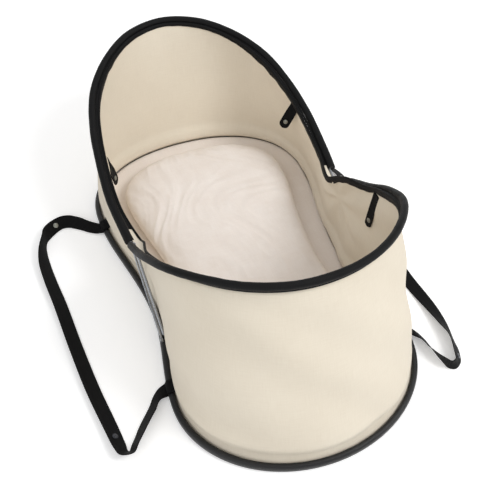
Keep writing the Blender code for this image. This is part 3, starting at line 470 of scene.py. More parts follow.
@dataclass(frozen=True)
class CottonCanvas(Finish):
    """Unbleached cotton canvas in a plain weave: matt, a little uneven in tone, with faint slubs.

    The real threads lie about 0.6 mm apart, too fine to show from a step away, so the weave is
    drawn at 1.5 mm.
    """

    light: str = "#EEE5D4"
    dark: str = "#E2D7C4"
    thread_mm: float = 1.5
    slub_mm: float = 3.0
    cloud_mm: float = 160.0
    roughness: float = 0.92
    relief: float = 0.22

    def surface(self, tree: bpy.types.NodeTree) -> bpy.types.NodeSocket:
        """Mixes two tones with clouds and slubs, and raises the woven threads."""
        at = add_node(tree, "ShaderNodeTexCoord")
        flat = at.outputs["UV"]
        space = at.outputs["Object"]
        cloud = add_node(
            tree,
            "ShaderNodeTexNoise",
            inputs={"Vector": space, "Scale": noise_scale(self.cloud_mm), "Detail": 3.0},
        )
        streaks = []
        for stretch in ((1.0, 14.0, 1.0), (14.0, 1.0, 1.0)):
            laid = add_node(tree, "ShaderNodeMapping", inputs={"Vector": flat, "Scale": stretch})
            streak = add_node(
                tree,
                "ShaderNodeTexNoise",
                inputs={
                    "Vector": laid.outputs["Vector"],
                    "Scale": noise_scale(self.slub_mm * 8),
                    "Detail": 2.0,
                },
            )
            streaks.append(streak.outputs["Fac"])
        slub = add_node(tree, "ShaderNodeMath", {"operation": "ADD"}, {0: streaks[0], 1: streaks[1]})
        slub = add_node(
            tree, "ShaderNodeMath", {"operation": "MULTIPLY"}, {0: slub.outputs[0], 1: 0.32}
        )
        tone = add_node(
            tree,
            "ShaderNodeMath",
            {"operation": "MULTIPLY_ADD"},
            {0: cloud.outputs["Fac"], 1: 0.5, 2: slub.outputs[0]},
        )
        spread = add_node(
            tree, "ShaderNodeMapRange", inputs={0: tone.outputs[0], 1: 0.30, 2: 0.86, 3: 0.0, 4: 1.0}
        )
        colour = add_node(
            tree,
            "ShaderNodeMix",
            {"data_type": "RGBA"},
            {0: spread.outputs[0], 6: linear(self.dark), 7: linear(self.light)},
        )
        bands = []
        for direction in ("X", "Y"):
            bands.append(
                add_node(
                    tree,
                    "ShaderNodeTexWave",
                    {"bands_direction": direction},
                    {
                        "Vector": flat,
                        "Scale": wave_scale(self.thread_mm),
                        "Distortion": 0.6,
                        "Detail": 1.0,
                        "Detail Scale": 0.4,
                    },
                ).outputs["Fac"]
            )
        weave = add_node(tree, "ShaderNodeMath", {"operation": "MULTIPLY"}, {0: bands[0], 1: bands[1]})
        raised = add_node(
            tree,
            "ShaderNodeMath",
            {"operation": "MULTIPLY_ADD"},
            {0: slub.outputs[0], 1: 0.8, 2: weave.outputs[0]},
        )
        bump = add_node(
            tree,
            "ShaderNodeBump",
            inputs={"Height": raised.outputs[0], "Strength": self.relief, "Distance": 0.25 * MM},
        )
        shader = add_node(
            tree,
            "ShaderNodeBsdfPrincipled",
            inputs={
                "Base Color": colour.outputs[2],
                "Roughness": self.roughness,
                "Sheen Weight": 0.12,
                "Sheen Roughness": 0.5,
                "Specular IOR Level": 0.25,
                "Normal": bump.outputs["Normal"],
            },
        )
        return shader.outputs["BSDF"]


@dataclass(frozen=True)
class WovenTape(Finish):
    """Dyed polyester tape or webbing: ribs across it, a soft sheen, dust-pale wear on its high threads.

    Real ribs lie about 1 mm apart; they are drawn at the pitch given, the least that still shows.
    """

    dye: str = "#060607"
    worn: str = "#141416"
    rib_mm: float = 1.6
    thread_mm: float = 1.2
    roughness: float = 0.66
    sheen: float = 0.03
    gloss: float = 0.22
    relief: float = 0.55
    stitch_inset_mm: float = 0.0
    stitch_mm: float = 3.6
    width_mm: float = 14.0

    def surface(self, tree: bpy.types.NodeTree) -> bpy.types.NodeSocket:
        """Raises the ribs and threads, and lightens what stands proud."""
        flat = add_node(tree, "ShaderNodeTexCoord").outputs["UV"]
        ribs = add_node(
            tree,
            "ShaderNodeTexWave",
            {"bands_direction": "X"},
            {"Vector": flat, "Scale": wave_scale(self.rib_mm), "Distortion": 0.4, "Detail": 1.0},
        )
        threads = add_node(
            tree,
            "ShaderNodeTexWave",
            {"bands_direction": "Y"},
            {"Vector": flat, "Scale": wave_scale(self.thread_mm), "Distortion": 0.8, "Detail": 1.0},
        )
        woven = add_node(
            tree,
            "ShaderNodeMath",
            {"operation": "MULTIPLY"},
            {0: ribs.outputs["Fac"], 1: threads.outputs["Fac"]},
        )
        patch = add_node(
            tree,
            "ShaderNodeTexNoise",
            inputs={"Vector": flat, "Scale": noise_scale(22.0), "Detail": 4.0},
        )
        wear = add_node(
            tree,
            "ShaderNodeMath",
            {"operation": "MULTIPLY"},
            {0: woven.outputs[0], 1: patch.outputs["Fac"]},
        )
        wear = add_node(
            tree, "ShaderNodeMapRange", inputs={0: wear.outputs[0], 1: 0.1, 2: 0.62, 3: 0.0, 4: 1.0}
        )
        colour = add_node(
            tree,
            "ShaderNodeMix",
            {"data_type": "RGBA"},
            {0: wear.outputs[0], 6: linear(self.dye), 7: linear(self.worn)},
        )
        height = woven.outputs[0]
        if self.stitch_inset_mm > 0:
            height = self.with_stitches(tree, flat, height)
        bump = add_node(
            tree,
            "ShaderNodeBump",
            inputs={"Height": height, "Strength": self.relief, "Distance": 0.3 * MM},
        )
        shader = add_node(
            tree,
            "ShaderNodeBsdfPrincipled",
            inputs={
                "Base Color": colour.outputs[2],
                "Roughness": self.roughness,
                "Sheen Weight": self.sheen,
                "Sheen Roughness": 0.35,
                "Specular IOR Level": self.gloss,
                "Normal": bump.outputs["Normal"],
            },
        )
        return shader.outputs["BSDF"]

    def with_stitches(
        self, tree: bpy.types.NodeTree, flat: bpy.types.NodeSocket, height: bpy.types.NodeSocket
    ) -> bpy.types.NodeSocket:
        """Adds a run of stitches near each edge to a height.

        Args:
            tree: The material's node tree.
            flat: The UV map in metres.
            height: The height that the stitches are added to.

        Returns:
            The height with the stitches standing proud.
        """
        parts = add_node(tree, "ShaderNodeSeparateXYZ", inputs={0: flat})
        total = height
        for place in (self.stitch_inset_mm, self.width_mm - self.stitch_inset_mm):
            off = add_node(
                tree,
                "ShaderNodeMath",
                {"operation": "COMPARE"},
                {0: parts.outputs["Y"], 1: place * MM, 2: 0.45 * MM},
            )
            turn = add_node(
                tree,
                "ShaderNodeMath",
                {"operation": "MULTIPLY"},
                {0: parts.outputs["X"], 1: 2 * math.pi / (self.stitch_mm * MM)},
            )
            dash = add_node(tree, "ShaderNodeMath", {"operation": "SINE"}, {0: turn.outputs[0]})
            shown = add_node(
                tree, "ShaderNodeMath", {"operation": "GREATER_THAN"}, {0: dash.outputs[0], 1: -0.45}
            )
            stitch = add_node(
                tree,
                "ShaderNodeMath",
                {"operation": "MULTIPLY"},
                {0: off.outputs[0], 1: shown.outputs[0]},
            )
            total = add_node(
                tree,
                "ShaderNodeMath",
                {"operation": "MULTIPLY_ADD"},
                {0: stitch.outputs[0], 1: 1.6, 2: total},
            ).outputs[0]
        return total


@dataclass(frozen=True)
class DrawnSteel(Finish):
    """Bright drawn spring-steel wire: a clean metal with fine marks along its length."""

    colour: str = "#B9BCC1"
    dull: str = "#8E9297"
    roughness: float = 0.27
    grain_mm: float = 1.2

    def surface(self, tree: bpy.types.NodeTree) -> bpy.types.NodeSocket:
        """Mixes two greys and varies the gloss with a fine grain."""
        space = add_node(tree, "ShaderNodeTexCoord").outputs["Object"]
        grain = add_node(
            tree,
            "ShaderNodeTexNoise",
            inputs={"Vector": space, "Scale": noise_scale(self.grain_mm), "Detail": 5.0},
        )
        blot = add_node(
            tree, "ShaderNodeTexNoise", inputs={"Vector": space, "Scale": noise_scale(25.0), "Detail": 2.0}
        )
        colour = add_node(
            tree,
            "ShaderNodeMix",
            {"data_type": "RGBA"},
            {0: blot.outputs["Fac"], 6: linear(self.dull), 7: linear(self.colour)},
        )
        rough = add_node(
            tree,
            "ShaderNodeMapRange",
            inputs={
                0: grain.outputs["Fac"],
                1: 0.3,
                2: 0.7,
                3: self.roughness - 0.08,
                4: self.roughness + 0.10,
            },
        )
        bump = add_node(
            tree,
            "ShaderNodeBump",
            inputs={"Height": grain.outputs["Fac"], "Strength": 0.08, "Distance": 0.05 * MM},
        )
        shader = add_node(
            tree,
            "ShaderNodeBsdfPrincipled",
            inputs={
                "Base Color": colour.outputs[2],
                "Metallic": 1.0,
                "Roughness": rough.outputs[0],
                "Normal": bump.outputs["Normal"],
            },
        )
        return shader.outputs["BSDF"]


@dataclass(frozen=True)
class LacqueredStud(Finish):
    """Pressed brass stud under dark lacquer: glossy on its dome, dull where fingers rub it."""

    colour: str = "#3A3C42"
    edge: str = "#6A6D74"
    roughness: float = 0.34

    def surface(self, tree: bpy.types.NodeTree) -> bpy.types.NodeSocket:
        """Lightens the lacquer in worn spots and varies its gloss."""
        space = add_node(tree, "ShaderNodeTexCoord").outputs["Object"]
        spots = add_node(
            tree, "ShaderNodeTexNoise", inputs={"Vector": space, "Scale": noise_scale(2.5), "Detail": 4.0}
        )
        worn = add_node(
            tree, "ShaderNodeMapRange", inputs={0: spots.outputs["Fac"], 1: 0.45, 2: 0.75, 3: 0.0, 4: 0.6}
        )
        colour = add_node(
            tree,
            "ShaderNodeMix",
            {"data_type": "RGBA"},
            {0: worn.outputs[0], 6: linear(self.colour), 7: linear(self.edge)},
        )
        shader = add_node(
            tree,
            "ShaderNodeBsdfPrincipled",
            inputs={
                "Base Color": colour.outputs[2],
                "Metallic": 0.85,
                "Roughness": self.roughness,
                "Coat Weight": 0.3,
                "Coat Roughness": 0.2,
            },
        )
        return shader.outputs["BSDF"]


@dataclass(frozen=True)
class StudioSweep(Finish):
    """A white painted studio floor: shows white to the camera and in reflections, and takes a soft shadow."""

    paint: str = "#F4F4F4"
    lift: float = 0.30

    def surface(self, tree: bpy.types.NodeTree) -> bpy.types.NodeSocket:
        """Adds a little white to plain paint where the camera, metal or glass sees it."""
        rays = add_node(tree, "ShaderNodeLightPath")
        seen = add_node(
            tree,
            "ShaderNodeMath",
            {"operation": "MAXIMUM"},
            {0: rays.outputs["Is Camera Ray"], 1: rays.outputs["Is Glossy Ray"]},
        )
        seen = add_node(
            tree,
            "ShaderNodeMath",
            {"operation": "MAXIMUM"},
            {0: seen.outputs[0], 1: rays.outputs["Is Transmission Ray"]},
        )
        strength = add_node(
            tree, "ShaderNodeMath", {"operation": "MULTIPLY"}, {0: seen.outputs[0], 1: self.lift}
        )
        paint = add_node(tree, "ShaderNodeBsdfDiffuse", inputs={"Color": linear(self.paint)})
        glow = add_node(
            tree,
            "ShaderNodeEmission",
            inputs={"Color": (1.0, 1.0, 1.0, 1.0), "Strength": strength.outputs[0]},
        )
        both = add_node(
            tree, "ShaderNodeAddShader", inputs={0: paint.outputs["BSDF"], 1: glow.outputs["Emission"]}
        )
        return both.outputs[0]


CANVAS = CottonCanvas("cotton_canvas_plain_weave")
# The wall's inside face: the same canvas in warmer, brighter tones, a painted glow that stands in for light
# shining through the thin cloth and bouncing round inside the cot.
CANVAS_INSIDE_PAINTED_LIGHT = CottonCanvas("cotton_canvas_unbleached_back", light="#FFE9B6", dark="#F6D89E")
LINING = CottonCanvas(
    "brushed_cotton_cover",
    light="#F6EFE9",
    dark="#EADFD6",
    thread_mm=2.0,
    cloud_mm=45.0,
    relief=0.14,
)
BINDING_TAPE = WovenTape("polyester_binding_tape", stitch_inset_mm=2.0)
SLEEVE_TAPE = WovenTape("polyester_sleeve_tape", rib_mm=2.0, roughness=0.58, gloss=0.20)
BAND_TAPE = WovenTape("polyester_welt_tape", rib_mm=2.0, roughness=0.40, gloss=0.45)
WEBBING = WovenTape("polypropylene_webbing", rib_mm=2.4, thread_mm=2.0, roughness=0.72, gloss=0.16)
SPRING_STEEL = DrawnSteel("spring_steel_drawn_wire")
BLACKENED_STEEL = DrawnSteel("steel_strip_blackened", colour="#17171A", dull="#0E0E10", roughness=0.55)
STUD = LacqueredStud("press_stud_lacquered")
NICKEL_STUD = LacqueredStud("press_stud_nickel", colour="#86877F", edge="#B4B3A8", roughness=0.30)
FLOOR_PAINT = StudioSweep("studio_floor_paint")


def dress(
    piece: bpy.types.Object,
    finish: Finish,
    body: str,
    nodes: Sequence[str] = (),
) -> bpy.types.Object:
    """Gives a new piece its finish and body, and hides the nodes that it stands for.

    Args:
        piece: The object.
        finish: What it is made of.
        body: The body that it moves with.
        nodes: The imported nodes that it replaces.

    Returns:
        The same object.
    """
    piece.data.materials.clear()
    piece.data.materials.append(finish.material())
    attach(piece, body)
    if nodes:
        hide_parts(*nodes)
    LOG.info("%s: %d faces, rides on %s", piece.name, len(piece.data.polygons), body)
    return piece


def repaint(node: str, finish: Finish, bevel_mm: float) -> None:
    """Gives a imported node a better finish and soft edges.

    Args:
        node: The node's name.
        finish: What it is made of.
        bevel_mm: The width of the rounding on its edges.
    """
    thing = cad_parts[node]
    thing.data.materials.clear()
    thing.data.materials.append(finish.material())
    weld = thing.modifiers.new("weld", "WELD")
    weld.merge_threshold = WELD_GAP
    edge = thing.modifiers.new("edge", "BEVEL")
    edge.width = bevel_mm * MM
    edge.segments = 3
    edge.limit_method = "ANGLE"
    edge.angle_limit = WIRE_EDGE_ANGLE
    edge.harden_normals = False
    LOG.info("%s: repainted as %s", node, finish.name)


# The cot's shape


@dataclass(frozen=True)
class BaseOutline:
    """The outline of the base, at the outside of its band."""

    foot_reach: float = 0.290
    foot_curve: float = 0.170
    foot_half_width: float = 0.210
    waist_half_width: float = 0.187
    waist_forward: float = 0.060
    head_half_width: float = 0.219
    head_reach: float = 0.470
    head_curve: float = 0.160
    head_power: float = 2.2
    pivot_zone: float = 0.025
    pivot_zone_end: float = 0.085
    dense: int = 720

    def half(self, inset: float = 0.0, at_pivot: Optional[float] = None, count: int = 720) -> Points:
        """Draws the right half of the outline, moved inwards.

        Args:
            inset: How far in from the band's outer face.
            at_pivot: The same beside the pivots, where the pieces need room.
            count: How many points to return.

        Returns:
            Points in the floor plane, from the foot end to the head end.
        """
        turn = np.linspace(0.0, math.pi / 2, self.dense)
        foot_centre = self.foot_curve - self.foot_reach
        head_centre = self.head_reach - self.head_curve
        ease = (1 - np.cos(np.linspace(0.0, math.pi, self.dense))) / 2
        rise = np.linspace(0.0, 1.0, self.dense)
        foot = np.column_stack(
            [self.foot_half_width * np.sin(turn), foot_centre - self.foot_curve * np.cos(turn)]
        )
        to_waist = np.column_stack(
            [
                self.foot_half_width + (self.waist_half_width - self.foot_half_width) * ease,
                foot_centre + (self.waist_forward - foot_centre) * rise,
            ]
        )
        to_head = np.column_stack(
            [
                self.waist_half_width + (self.head_half_width - self.waist_half_width) * ease,
                self.waist_forward + (head_centre - self.waist_forward) * rise,
            ]
        )
        head = np.column_stack(
            [
                self.head_half_width * np.cos(turn) ** (2 / self.head_power),
                head_centre + self.head_curve * np.sin(turn) ** (2 / self.head_power),
            ]
        )
        dense = even_steps(np.vstack([foot, to_waist[1:], to_head[1:], head[1:]]), self.dense)
        along = directions(dense)
        inward = np.column_stack([-along[:, 1], along[:, 0]])
        inward[0] = (0.0, 1.0)
        inward[-1] = (0.0, -1.0)
        further = 0.0 if at_pivot is None else at_pivot - inset
        near = (self.pivot_zone_end - np.abs(dense[:, 1])) / (self.pivot_zone_end - self.pivot_zone)
        depth = inset + further * (1 - np.cos(math.pi * np.clip(near, 0.0, 1.0))) / 2
        moved = dense + depth[:, None] * inward
        moved[0, 0] = 0.0
        moved[-1, 0] = 0.0
        wanted = np.linspace(0, self.dense - 1, count)
        return np.column_stack([np.interp(wanted, np.arange(self.dense), c) for c in moved.T])

    def loop(self, inset: float = 0.0, at_pivot: Optional[float] = None, count: int = 288) -> Points:
        """Draws the whole outline as a closed run, anticlockwise from the foot end."""
        return mirrored(self.half(inset, at_pivot, count // 2 + 1))[:-1]

    def width_at(self, forward: float) -> float:
        """Gives half the base's width at a place along the cot."""
        half = self.half()
        return float(np.interp(forward, half[:, 1], half[:, 0]))


@dataclass(frozen=True)
class Hoop:
    """The centre line of a bent wire hoop, as shares of its reach, rise and half width."""

    half_width: float
    start: tuple[float, float]
    reach: float
    rise: float
    bends: tuple[tuple[float, float, float], ...]
    count: int

    def half(self) -> Points:
        """Draws the right half of the centre line, from its first bend to its middle."""
        forward, height = self.start
        bends = [
            (x * self.half_width, forward + y * self.reach, height + z * self.rise) for x, y, z in self.bends
        ]
        bends += [(-x, y, z) for x, y, z in reversed(bends[:-1])]
        whole = smooth_line(bends, self.count * 2 - 1)
        whole[self.count - 1, 0] = 0.0
        return whole[: self.count]


@dataclass(frozen=True)
class CotShape:
    """The frame's hoops, the cloth's opening edge and the wall between that edge and the base."""

    outline: BaseOutline = BaseOutline()
    pivot_height: float = 0.0165
    corner_forward: float = 0.094
    corner_height: float = 0.158
    base_points: int = 72
    wall_levels: int = 7
    wall_inset: float = 0.0076
    wall_inset_at_pivot: float = 0.0145
    wall_bottom: float = 0.0022
    band_height: float = 0.0100
    wall_bulge: float = 0.0060
    fold_depth: float = 0.0022
    fold_count: int = 9
    rim_drop: float = 0.0082
    rim_points: int = 10
    rim_turn: tuple[float, float] = (0.40, 0.75)
    rim_hood: tuple[float, float] = (0.0094, 0.0030)
    rim_corner_inset: float = 0.0200
    rim_middle: tuple[float, float] = (0.0195, 0.0060)
    rim_end: tuple[float, float] = (0.0170, 0.0080)
    right_lift: float = 0.0290
    lift_forward: float = 0.136
    lift_spread: tuple[float, float] = (0.068, 0.052)
    rim_dense: int = 720
    head_points: int = 8
    finer_by: int = 6

    def hood(self) -> Hoop:
        """Gives the hood hoop."""
        bends = (
            (0.962, 0.261, 0.445),
            (1.000, 0.408, 0.537),
            (0.988, 0.529, 0.659),
            (0.940, 0.650, 0.758),
            (0.840, 0.766, 0.853),
            (0.630, 0.876, 0.942),
            (0.330, 0.966, 0.991),
            (0.000, 1.000, 1.000),
        )
        return Hoop(0.199, (0.0, self.pivot_height), 0.563, 0.217, bends, 29)

    def foot(self) -> Hoop:
        """Gives the foot hoop."""
        bends = (
            (1.000, 0.000, 0.000),
            (0.995, 0.133, 0.178),
            (0.975, 0.374, 0.541),
            (0.900, 0.577, 0.783),
            (0.760, 0.735, 0.904),
            (0.573, 0.869, 0.968),
            (0.330, 0.967, 1.000),
            (0.000, 1.000, 0.986),
        )
        return Hoop(0.199, (self.corner_forward, self.corner_height), -0.2565, 0.1405, bends, 25)

    def rim(self) -> tuple[Points, Points, Points]:
        """Draws the right half of the cloth's opening edge, with its corner and the hood sleeve's end."""
        hood = self.hood().half()
        foot = even_steps(self.foot().half()[::-1], self.rim_points)
        share = np.linspace(0.0, 1.0, self.rim_points)
        start, end = self.rim_turn
        turn = math.pi / 2 * np.clip((share - start) / (end - start), 0.0, 1.0)
        widen = np.clip((share - end) / (1 - end), 0.0, 1.0) ** 2
        reach = self.rim_drop + (self.rim_corner_inset - self.rim_drop) * widen
        under = foot - reach[:, None] * np.column_stack([np.sin(turn), 0.0 * turn, np.cos(turn)])
        middle = (foot[-1] + hood[0]) / 2 - (self.rim_middle[0], 0.0, self.rim_middle[1])
        sleeve_end = hood[0] - (self.rim_end[0], 0.0, self.rim_end[1])
        along = directions(hood)
        inward = np.column_stack([-along[:, 1], along[:, 0]])
        inward /= np.linalg.norm(inward, axis=1)[:, None]
        inside = hood.copy()
        inside[:, :2] += self.rim_hood[0] * inward
        inside[:, 2] -= self.rim_hood[1]
        inside[-1, 0] = 0.0
        step = len(hood) // self.head_points
        head = inside[step::step]
        if abs(head[-1][0]) > WELD_GAP:
            head = np.vstack([head, inside[-1]])
        points = np.vstack([under, middle, sleeve_end, head])
        dense = smooth_line(np.vstack([points[2:0:-1] * (-1.0, 1.0, 1.0), points]), self.rim_dense)
        half = dense[int(np.argmin(np.abs(dense[: self.rim_dense // 3, 0]))) :]
        half[0, 0] = 0.0
        half[-1, 0] = 0.0
        return even_steps(half, self.rim_dense), under[-1], sleeve_end

    def stations(self) -> Points:
        """Draws the wall's middle surface: for each place round the base, points up to the opening edge."""
        rim, corner, end = self.rim()
        low = self.outline.half(self.wall_inset, self.wall_inset_at_pivot, self.base_points // 2 + 1)
        low = np.column_stack([low, np.full(len(low), self.wall_bottom)])
        at_corner = int(np.argmin(np.linalg.norm(rim - corner, axis=1)))
        rest = rim[at_corner:]
        at_end = int(np.argmin(np.linalg.norm(rest - end, axis=1)))
        below_corner = int(np.argmin(np.abs(low[:, 1] - corner[1])))
        below_end = max(int(np.argmin(np.abs(low[:, 1] - end[1]))), below_corner + 1)
        high = np.vstack(
            [
                even_steps(rim[: at_corner + 1], below_corner + 1)[:-1],
                even_steps(rest[: at_end + 1], below_end - below_corner + 1)[:-1],
                even_steps(rest[at_end:], len(low) - below_end),
            ]
        )
        low, high = mirrored(low)[:-1], mirrored(high)[:-1]
        away = high[:, 1] - self.lift_forward
        away /= np.where(away < 0, self.lift_spread[0], self.lift_spread[1])
        high[:, 2] += np.where(high[:, 0] > 0, self.right_lift * np.exp(-(away**2)), 0.0)
        around = directions(low, closed=True)
        outward = np.column_stack([around[:, 1], -around[:, 0], np.zeros(len(around))])
        rows = []
        for k in range(len(low)):
            start = low[k] + (0.0, 0.0, self.band_height - self.wall_bottom)
            phase = 2 * math.pi * self.fold_count * k / len(low)
            ease = min(
                1.0,
                abs(low[k][1]) / (self.outline.head_reach if low[k][1] > 0 else self.outline.foot_reach),
            )
            row = [low[k]]
            for share in np.linspace(0.0, 1.0, self.wall_levels):
                belly = math.sin(math.pi * share)
                swell = belly * (ease**2 * self.wall_bulge + self.fold_depth * math.cos(phase) * share)
                row.append(start + (high[k] - start) * share + swell * outward[k])
            rows.append(row)
        return np.array(rows)

    def fine_stations(self) -> Points:
        """Gives the wall's middle surface with finer steps round the base."""
        return finer(self.stations(), self.finer_by, closed=True)


SHAPE = CotShape()


# Sub-assemblies


@dataclass
class Camera:
    """The photograph's viewpoint."""

    place: tuple[float, float, float] = (-0.3189, -0.6182, 1.0107)
    azimuth: float = -24.486
    elevation: float = 50.522
    roll: float = 3.005
    lens: float = 50.4
    sensor: float = 36.0

    def build(self) -> bpy.types.Object:
        """Sets the camera up and makes it the scene's."""
        data = bpy.data.cameras.new("camera")
        data.lens = self.lens
        data.sensor_width = self.sensor
        camera = bpy.data.objects.new("camera", data)
        a, e = math.radians(self.azimuth), math.radians(self.elevation)
        back = Vector((math.sin(a) * math.cos(e), -math.cos(a) * math.cos(e), math.sin(e)))
        level = Vector((math.cos(a), math.sin(a), 0.0))
        upright = back.cross(level)
        r = math.radians(self.roll)
        right = level * math.cos(r) + upright * math.sin(r)
        up = upright * math.cos(r) - level * math.sin(r)
        turned = Matrix((right, up, back)).transposed().to_4x4()
        camera.matrix_world = Matrix.Translation(self.place) @ turned
        bpy.context.scene.collection.objects.link(camera)
        bpy.context.scene.camera = camera
        return camera


@dataclass
class Studio:
    """A white floor, a white world and soft lamps."""

    floor_half: float = 6.0
    floor_height: float = -0.0006
    world_light: float = 0.62
    aim: tuple[float, float, float] = (0.0, 0.08, 0.1)
    lamps: tuple[tuple[str, tuple[float, float, float], float, float], ...] = (
        ("key_lamp", (1.5, -1.0, 2.3), 1.2, 33.0),
        ("fill_lamp", (-1.9, -1.4, 1.6), 1.8, 11.0),
        ("back_lamp", (0.4, 2.2, 1.9), 1.4, 7.0),
    )

    def build(self) -> None:
        """Builds the floor, the world and the lamps."""
        h, z = self.floor_half, self.floor_height
        corners = [(-h, -h, z), (h, -h, z), (h, h, z), (-h, h, z)]
        floor = mesh_piece("studio_floor", corners, [(0, 1, 2, 3)])
        floor.data.materials.append(FLOOR_PAINT.material())
        self.light_world()
        for name, place, size, power in self.lamps:
            data = bpy.data.lights.new(name, "AREA")
            data.shape = "DISK"
            data.size = size
            data.energy = power
            lamp = bpy.data.objects.new(name, data)
            lamp.location = place
            aim = Vector(self.aim) - Vector(place)
            lamp.rotation_mode = "QUATERNION"
            lamp.rotation_quaternion = aim.to_track_quat("-Z", "Y")
            bpy.context.scene.collection.objects.link(lamp)
        bpy.context.scene.view_settings.view_transform = "Standard"

    def light_world(self) -> None:
        """Lights the scene evenly, and shows white where the camera or glass sees past the floor."""
        world = bpy.data.worlds.new("studio_white")
        world.use_nodes = True
        tree = world.node_tree
        tree.nodes.clear()
        rays = add_node(tree, "ShaderNodeLightPath")
        seen = add_node(
            tree,
            "ShaderNodeMath",
            {"operation": "MAXIMUM"},
            {0: rays.outputs["Is Camera Ray"], 1: rays.outputs["Is Transmission Ray"]},
        )
        strength = add_node(
            tree,
            "ShaderNodeMapRange",
            inputs={0: seen.outputs[0], 1: 0.0, 2: 1.0, 3: self.world_light, 4: 1.0},
        )
        sky = add_node(
            tree,
            "ShaderNodeBackground",
            inputs={"Color": (1.0, 1.0, 1.0, 1.0), "Strength": strength.outputs[0]},
        )
        add_node(tree, "ShaderNodeOutputWorld", inputs={"Surface": sky.outputs[0]})
        bpy.context.scene.world = world


@dataclass
class ClothWall:
    """The cream canvas wall, sewn into the band at its foot and bound along its opening."""

    around: int = 4
    up: int = 7
    thickness: float = 0.0012
    seam_height: float = 0.0270
    tuck_depth: float = 0.0086
    tuck_from: float = 0.0095
    tuck_to: float = 0.0215
    tuck_end: float = 0.0320
    slack: float = 0.0036
    slack_pitch: float = 0.12
    slack_inward: float = 0.35
    pucker_margin: float = 0.012
    band_pucker: float = 0.9 * MM
    band_pucker_fade: float = 0.022
    band_pucker_pitch: float = 0.030
    tuck_waver: float = 0.3
    tuck_waver_pitch: float = 0.09
    rim_pucker: float = 1.1 * MM
    rim_pucker_fade: float = 0.030
    rim_pucker_pitch: float = 0.022
    seam_depth: float = -0.5 * MM
    seam_width: float = 1.6 * MM
    pull_corner: tuple[float, float, float] = (0.178, 0.105, 0.118)
    fan_height: float = 4.2 * MM
    fan_fade: float = 0.085
    fan_count: float = 7.0
    drape_height: float = 2.6 * MM
    drape_pitch: float = 0.105
    drape_slant: tuple[float, float, float] = (0.72, 0.35, 0.70)

    def surface(self) -> Points:
        """Gives fine rows of the wall's middle surface, with its slack, folds and seam puckers."""
        coarse = SHAPE.stations()
        fine = finer(coarse, self.around, closed=True)
        upper = np.swapaxes(finer(np.swapaxes(fine[:, 1:], 0, 1), self.up), 0, 1)
        rows = np.concatenate([fine[:, :1], upper], axis=1)
        along = directions(rows[:, -1], closed=True)
        round_base = distances(rows[:, 0])
        moved = rows.copy()
        for k in range(len(rows)):
            lengths = distances(rows[k])
            outward = out_of_wall(along[k], rows[k, -1] - rows[k, 1], rows[k, 1])
            for i in range(1, rows.shape[1] - 1):
                moved[k, i] += outward * self.relief(rows[k, i], round_base[k], lengths[i], lengths[-1])
        return moved

    def relief(self, place: Points, along: float, height: float, total: float) -> float:
        """Works out how far the cloth stands from its smooth shape.

        Args:
            place: The point on the smooth wall.
            along: The distance round the base.
            height: The distance up the cloth.
            total: The cloth's whole height there.

        Returns:
            The distance outwards, in metres.
        """
        share = height / total
        belly = math.sin(math.pi * share)
        sway = ripple(place * np.array([1.0, 1.0, 0.5]), self.slack_pitch, 2)
        soft = self.slack * belly * (sway - self.slack_inward)
        wave = ripple((along, 0.0, 0.0), self.band_pucker_pitch, 2)
        from_tuck = max(height - self.pucker_margin, 0.0)
        low = self.band_pucker * math.exp(-from_tuck / self.band_pucker_fade) * wave
        tuck = -self.tuck_depth * float(
            np.interp(height, [0.0, self.tuck_from, self.tuck_to, self.tuck_end], [0.0, 1.0, 1.0, 0.0])
        )
        tuck *= 0.85 + self.tuck_waver * ripple((along, 5.0, 0.0), self.tuck_waver_pitch)
        below_rim = total - height
        from_rim = max(below_rim - self.pucker_margin, 0.0)
        high = self.rim_pucker * math.exp(-from_rim / self.rim_pucker_fade)
        puckers = ripple((along, 3.0, height * 0.4), self.rim_pucker_pitch, 2)
        high *= puckers * min(1.0, below_rim / self.pucker_margin)
        seam = self.seam_depth * math.exp(-(((height - self.seam_height) / self.seam_width) ** 2))
        return soft + low + tuck + high + seam + self.pulls(place, height, below_rim)

    def pulls(self, place: Points, height: float, below_rim: float) -> float:
        """Works out the folds that fan out from the corners and the slanting ones across the foot end."""
        aside, forward, rise = self.pull_corner
        corner = np.array([math.copysign(aside, place[0]), forward, rise])
        away = place - corner
        far = float(np.linalg.norm(away))
        angle = math.atan2(away[2], away[1])
        fan = self.fan_height * math.exp(-far / self.fan_fade) * min(1.0, far / 0.03)
        fan *= math.sin(angle * self.fan_count + 2.0 * ripple(place, 0.05)) * min(1.0, below_rim / 0.02)
        slant_x, slant_y, slant_z = self.drape_slant
        slant = place[0] * slant_x + place[2] * slant_z + slant_y * place[1]
        phase = slant * 2 * math.pi / self.drape_pitch + 1.4 * ripple(place, 0.16)
        drape = self.drape_height * math.sin(phase)
        drape *= float(np.clip((0.06 - place[1]) / 0.12, 0.0, 1.0))
        drape *= min(1.0, below_rim / 0.04) * min(1.0, height / 0.05)
        return (fan + drape) * min(1.0, height / 0.03)

    def build(self) -> None:
        rows = self.surface()
        cloth = thickened(loft("wall_canvas", rows, closed_along=True), self.thickness, two_faced=True)
        dress(cloth, CANVAS, "cot", ["cot_wall"])
        # The wall's back face takes the copy of the canvas with painted light from inside the cot.
        cloth.data.materials.append(CANVAS_INSIDE_PAINTED_LIGHT.material())
        area = one_side_area(cloth)
        squash_with_wall(cloth)


def out_of_wall(along: Points, upward: Points, place: Points) -> Points:
    """Gives the unit direction out of the cot, square to two directions that lie in its wall."""
    outward = np.cross(along, upward)
    outward /= np.linalg.norm(outward)
    return outward if np.dot(outward[:2], place[:2] - np.array([0.0, OPENING_MIDDLE])) > 0 else -outward


def squash_with_wall(piece: bpy.types.Object) -> None:
    """Gives a soft piece its own copy of its mesh."""
    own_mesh(piece)


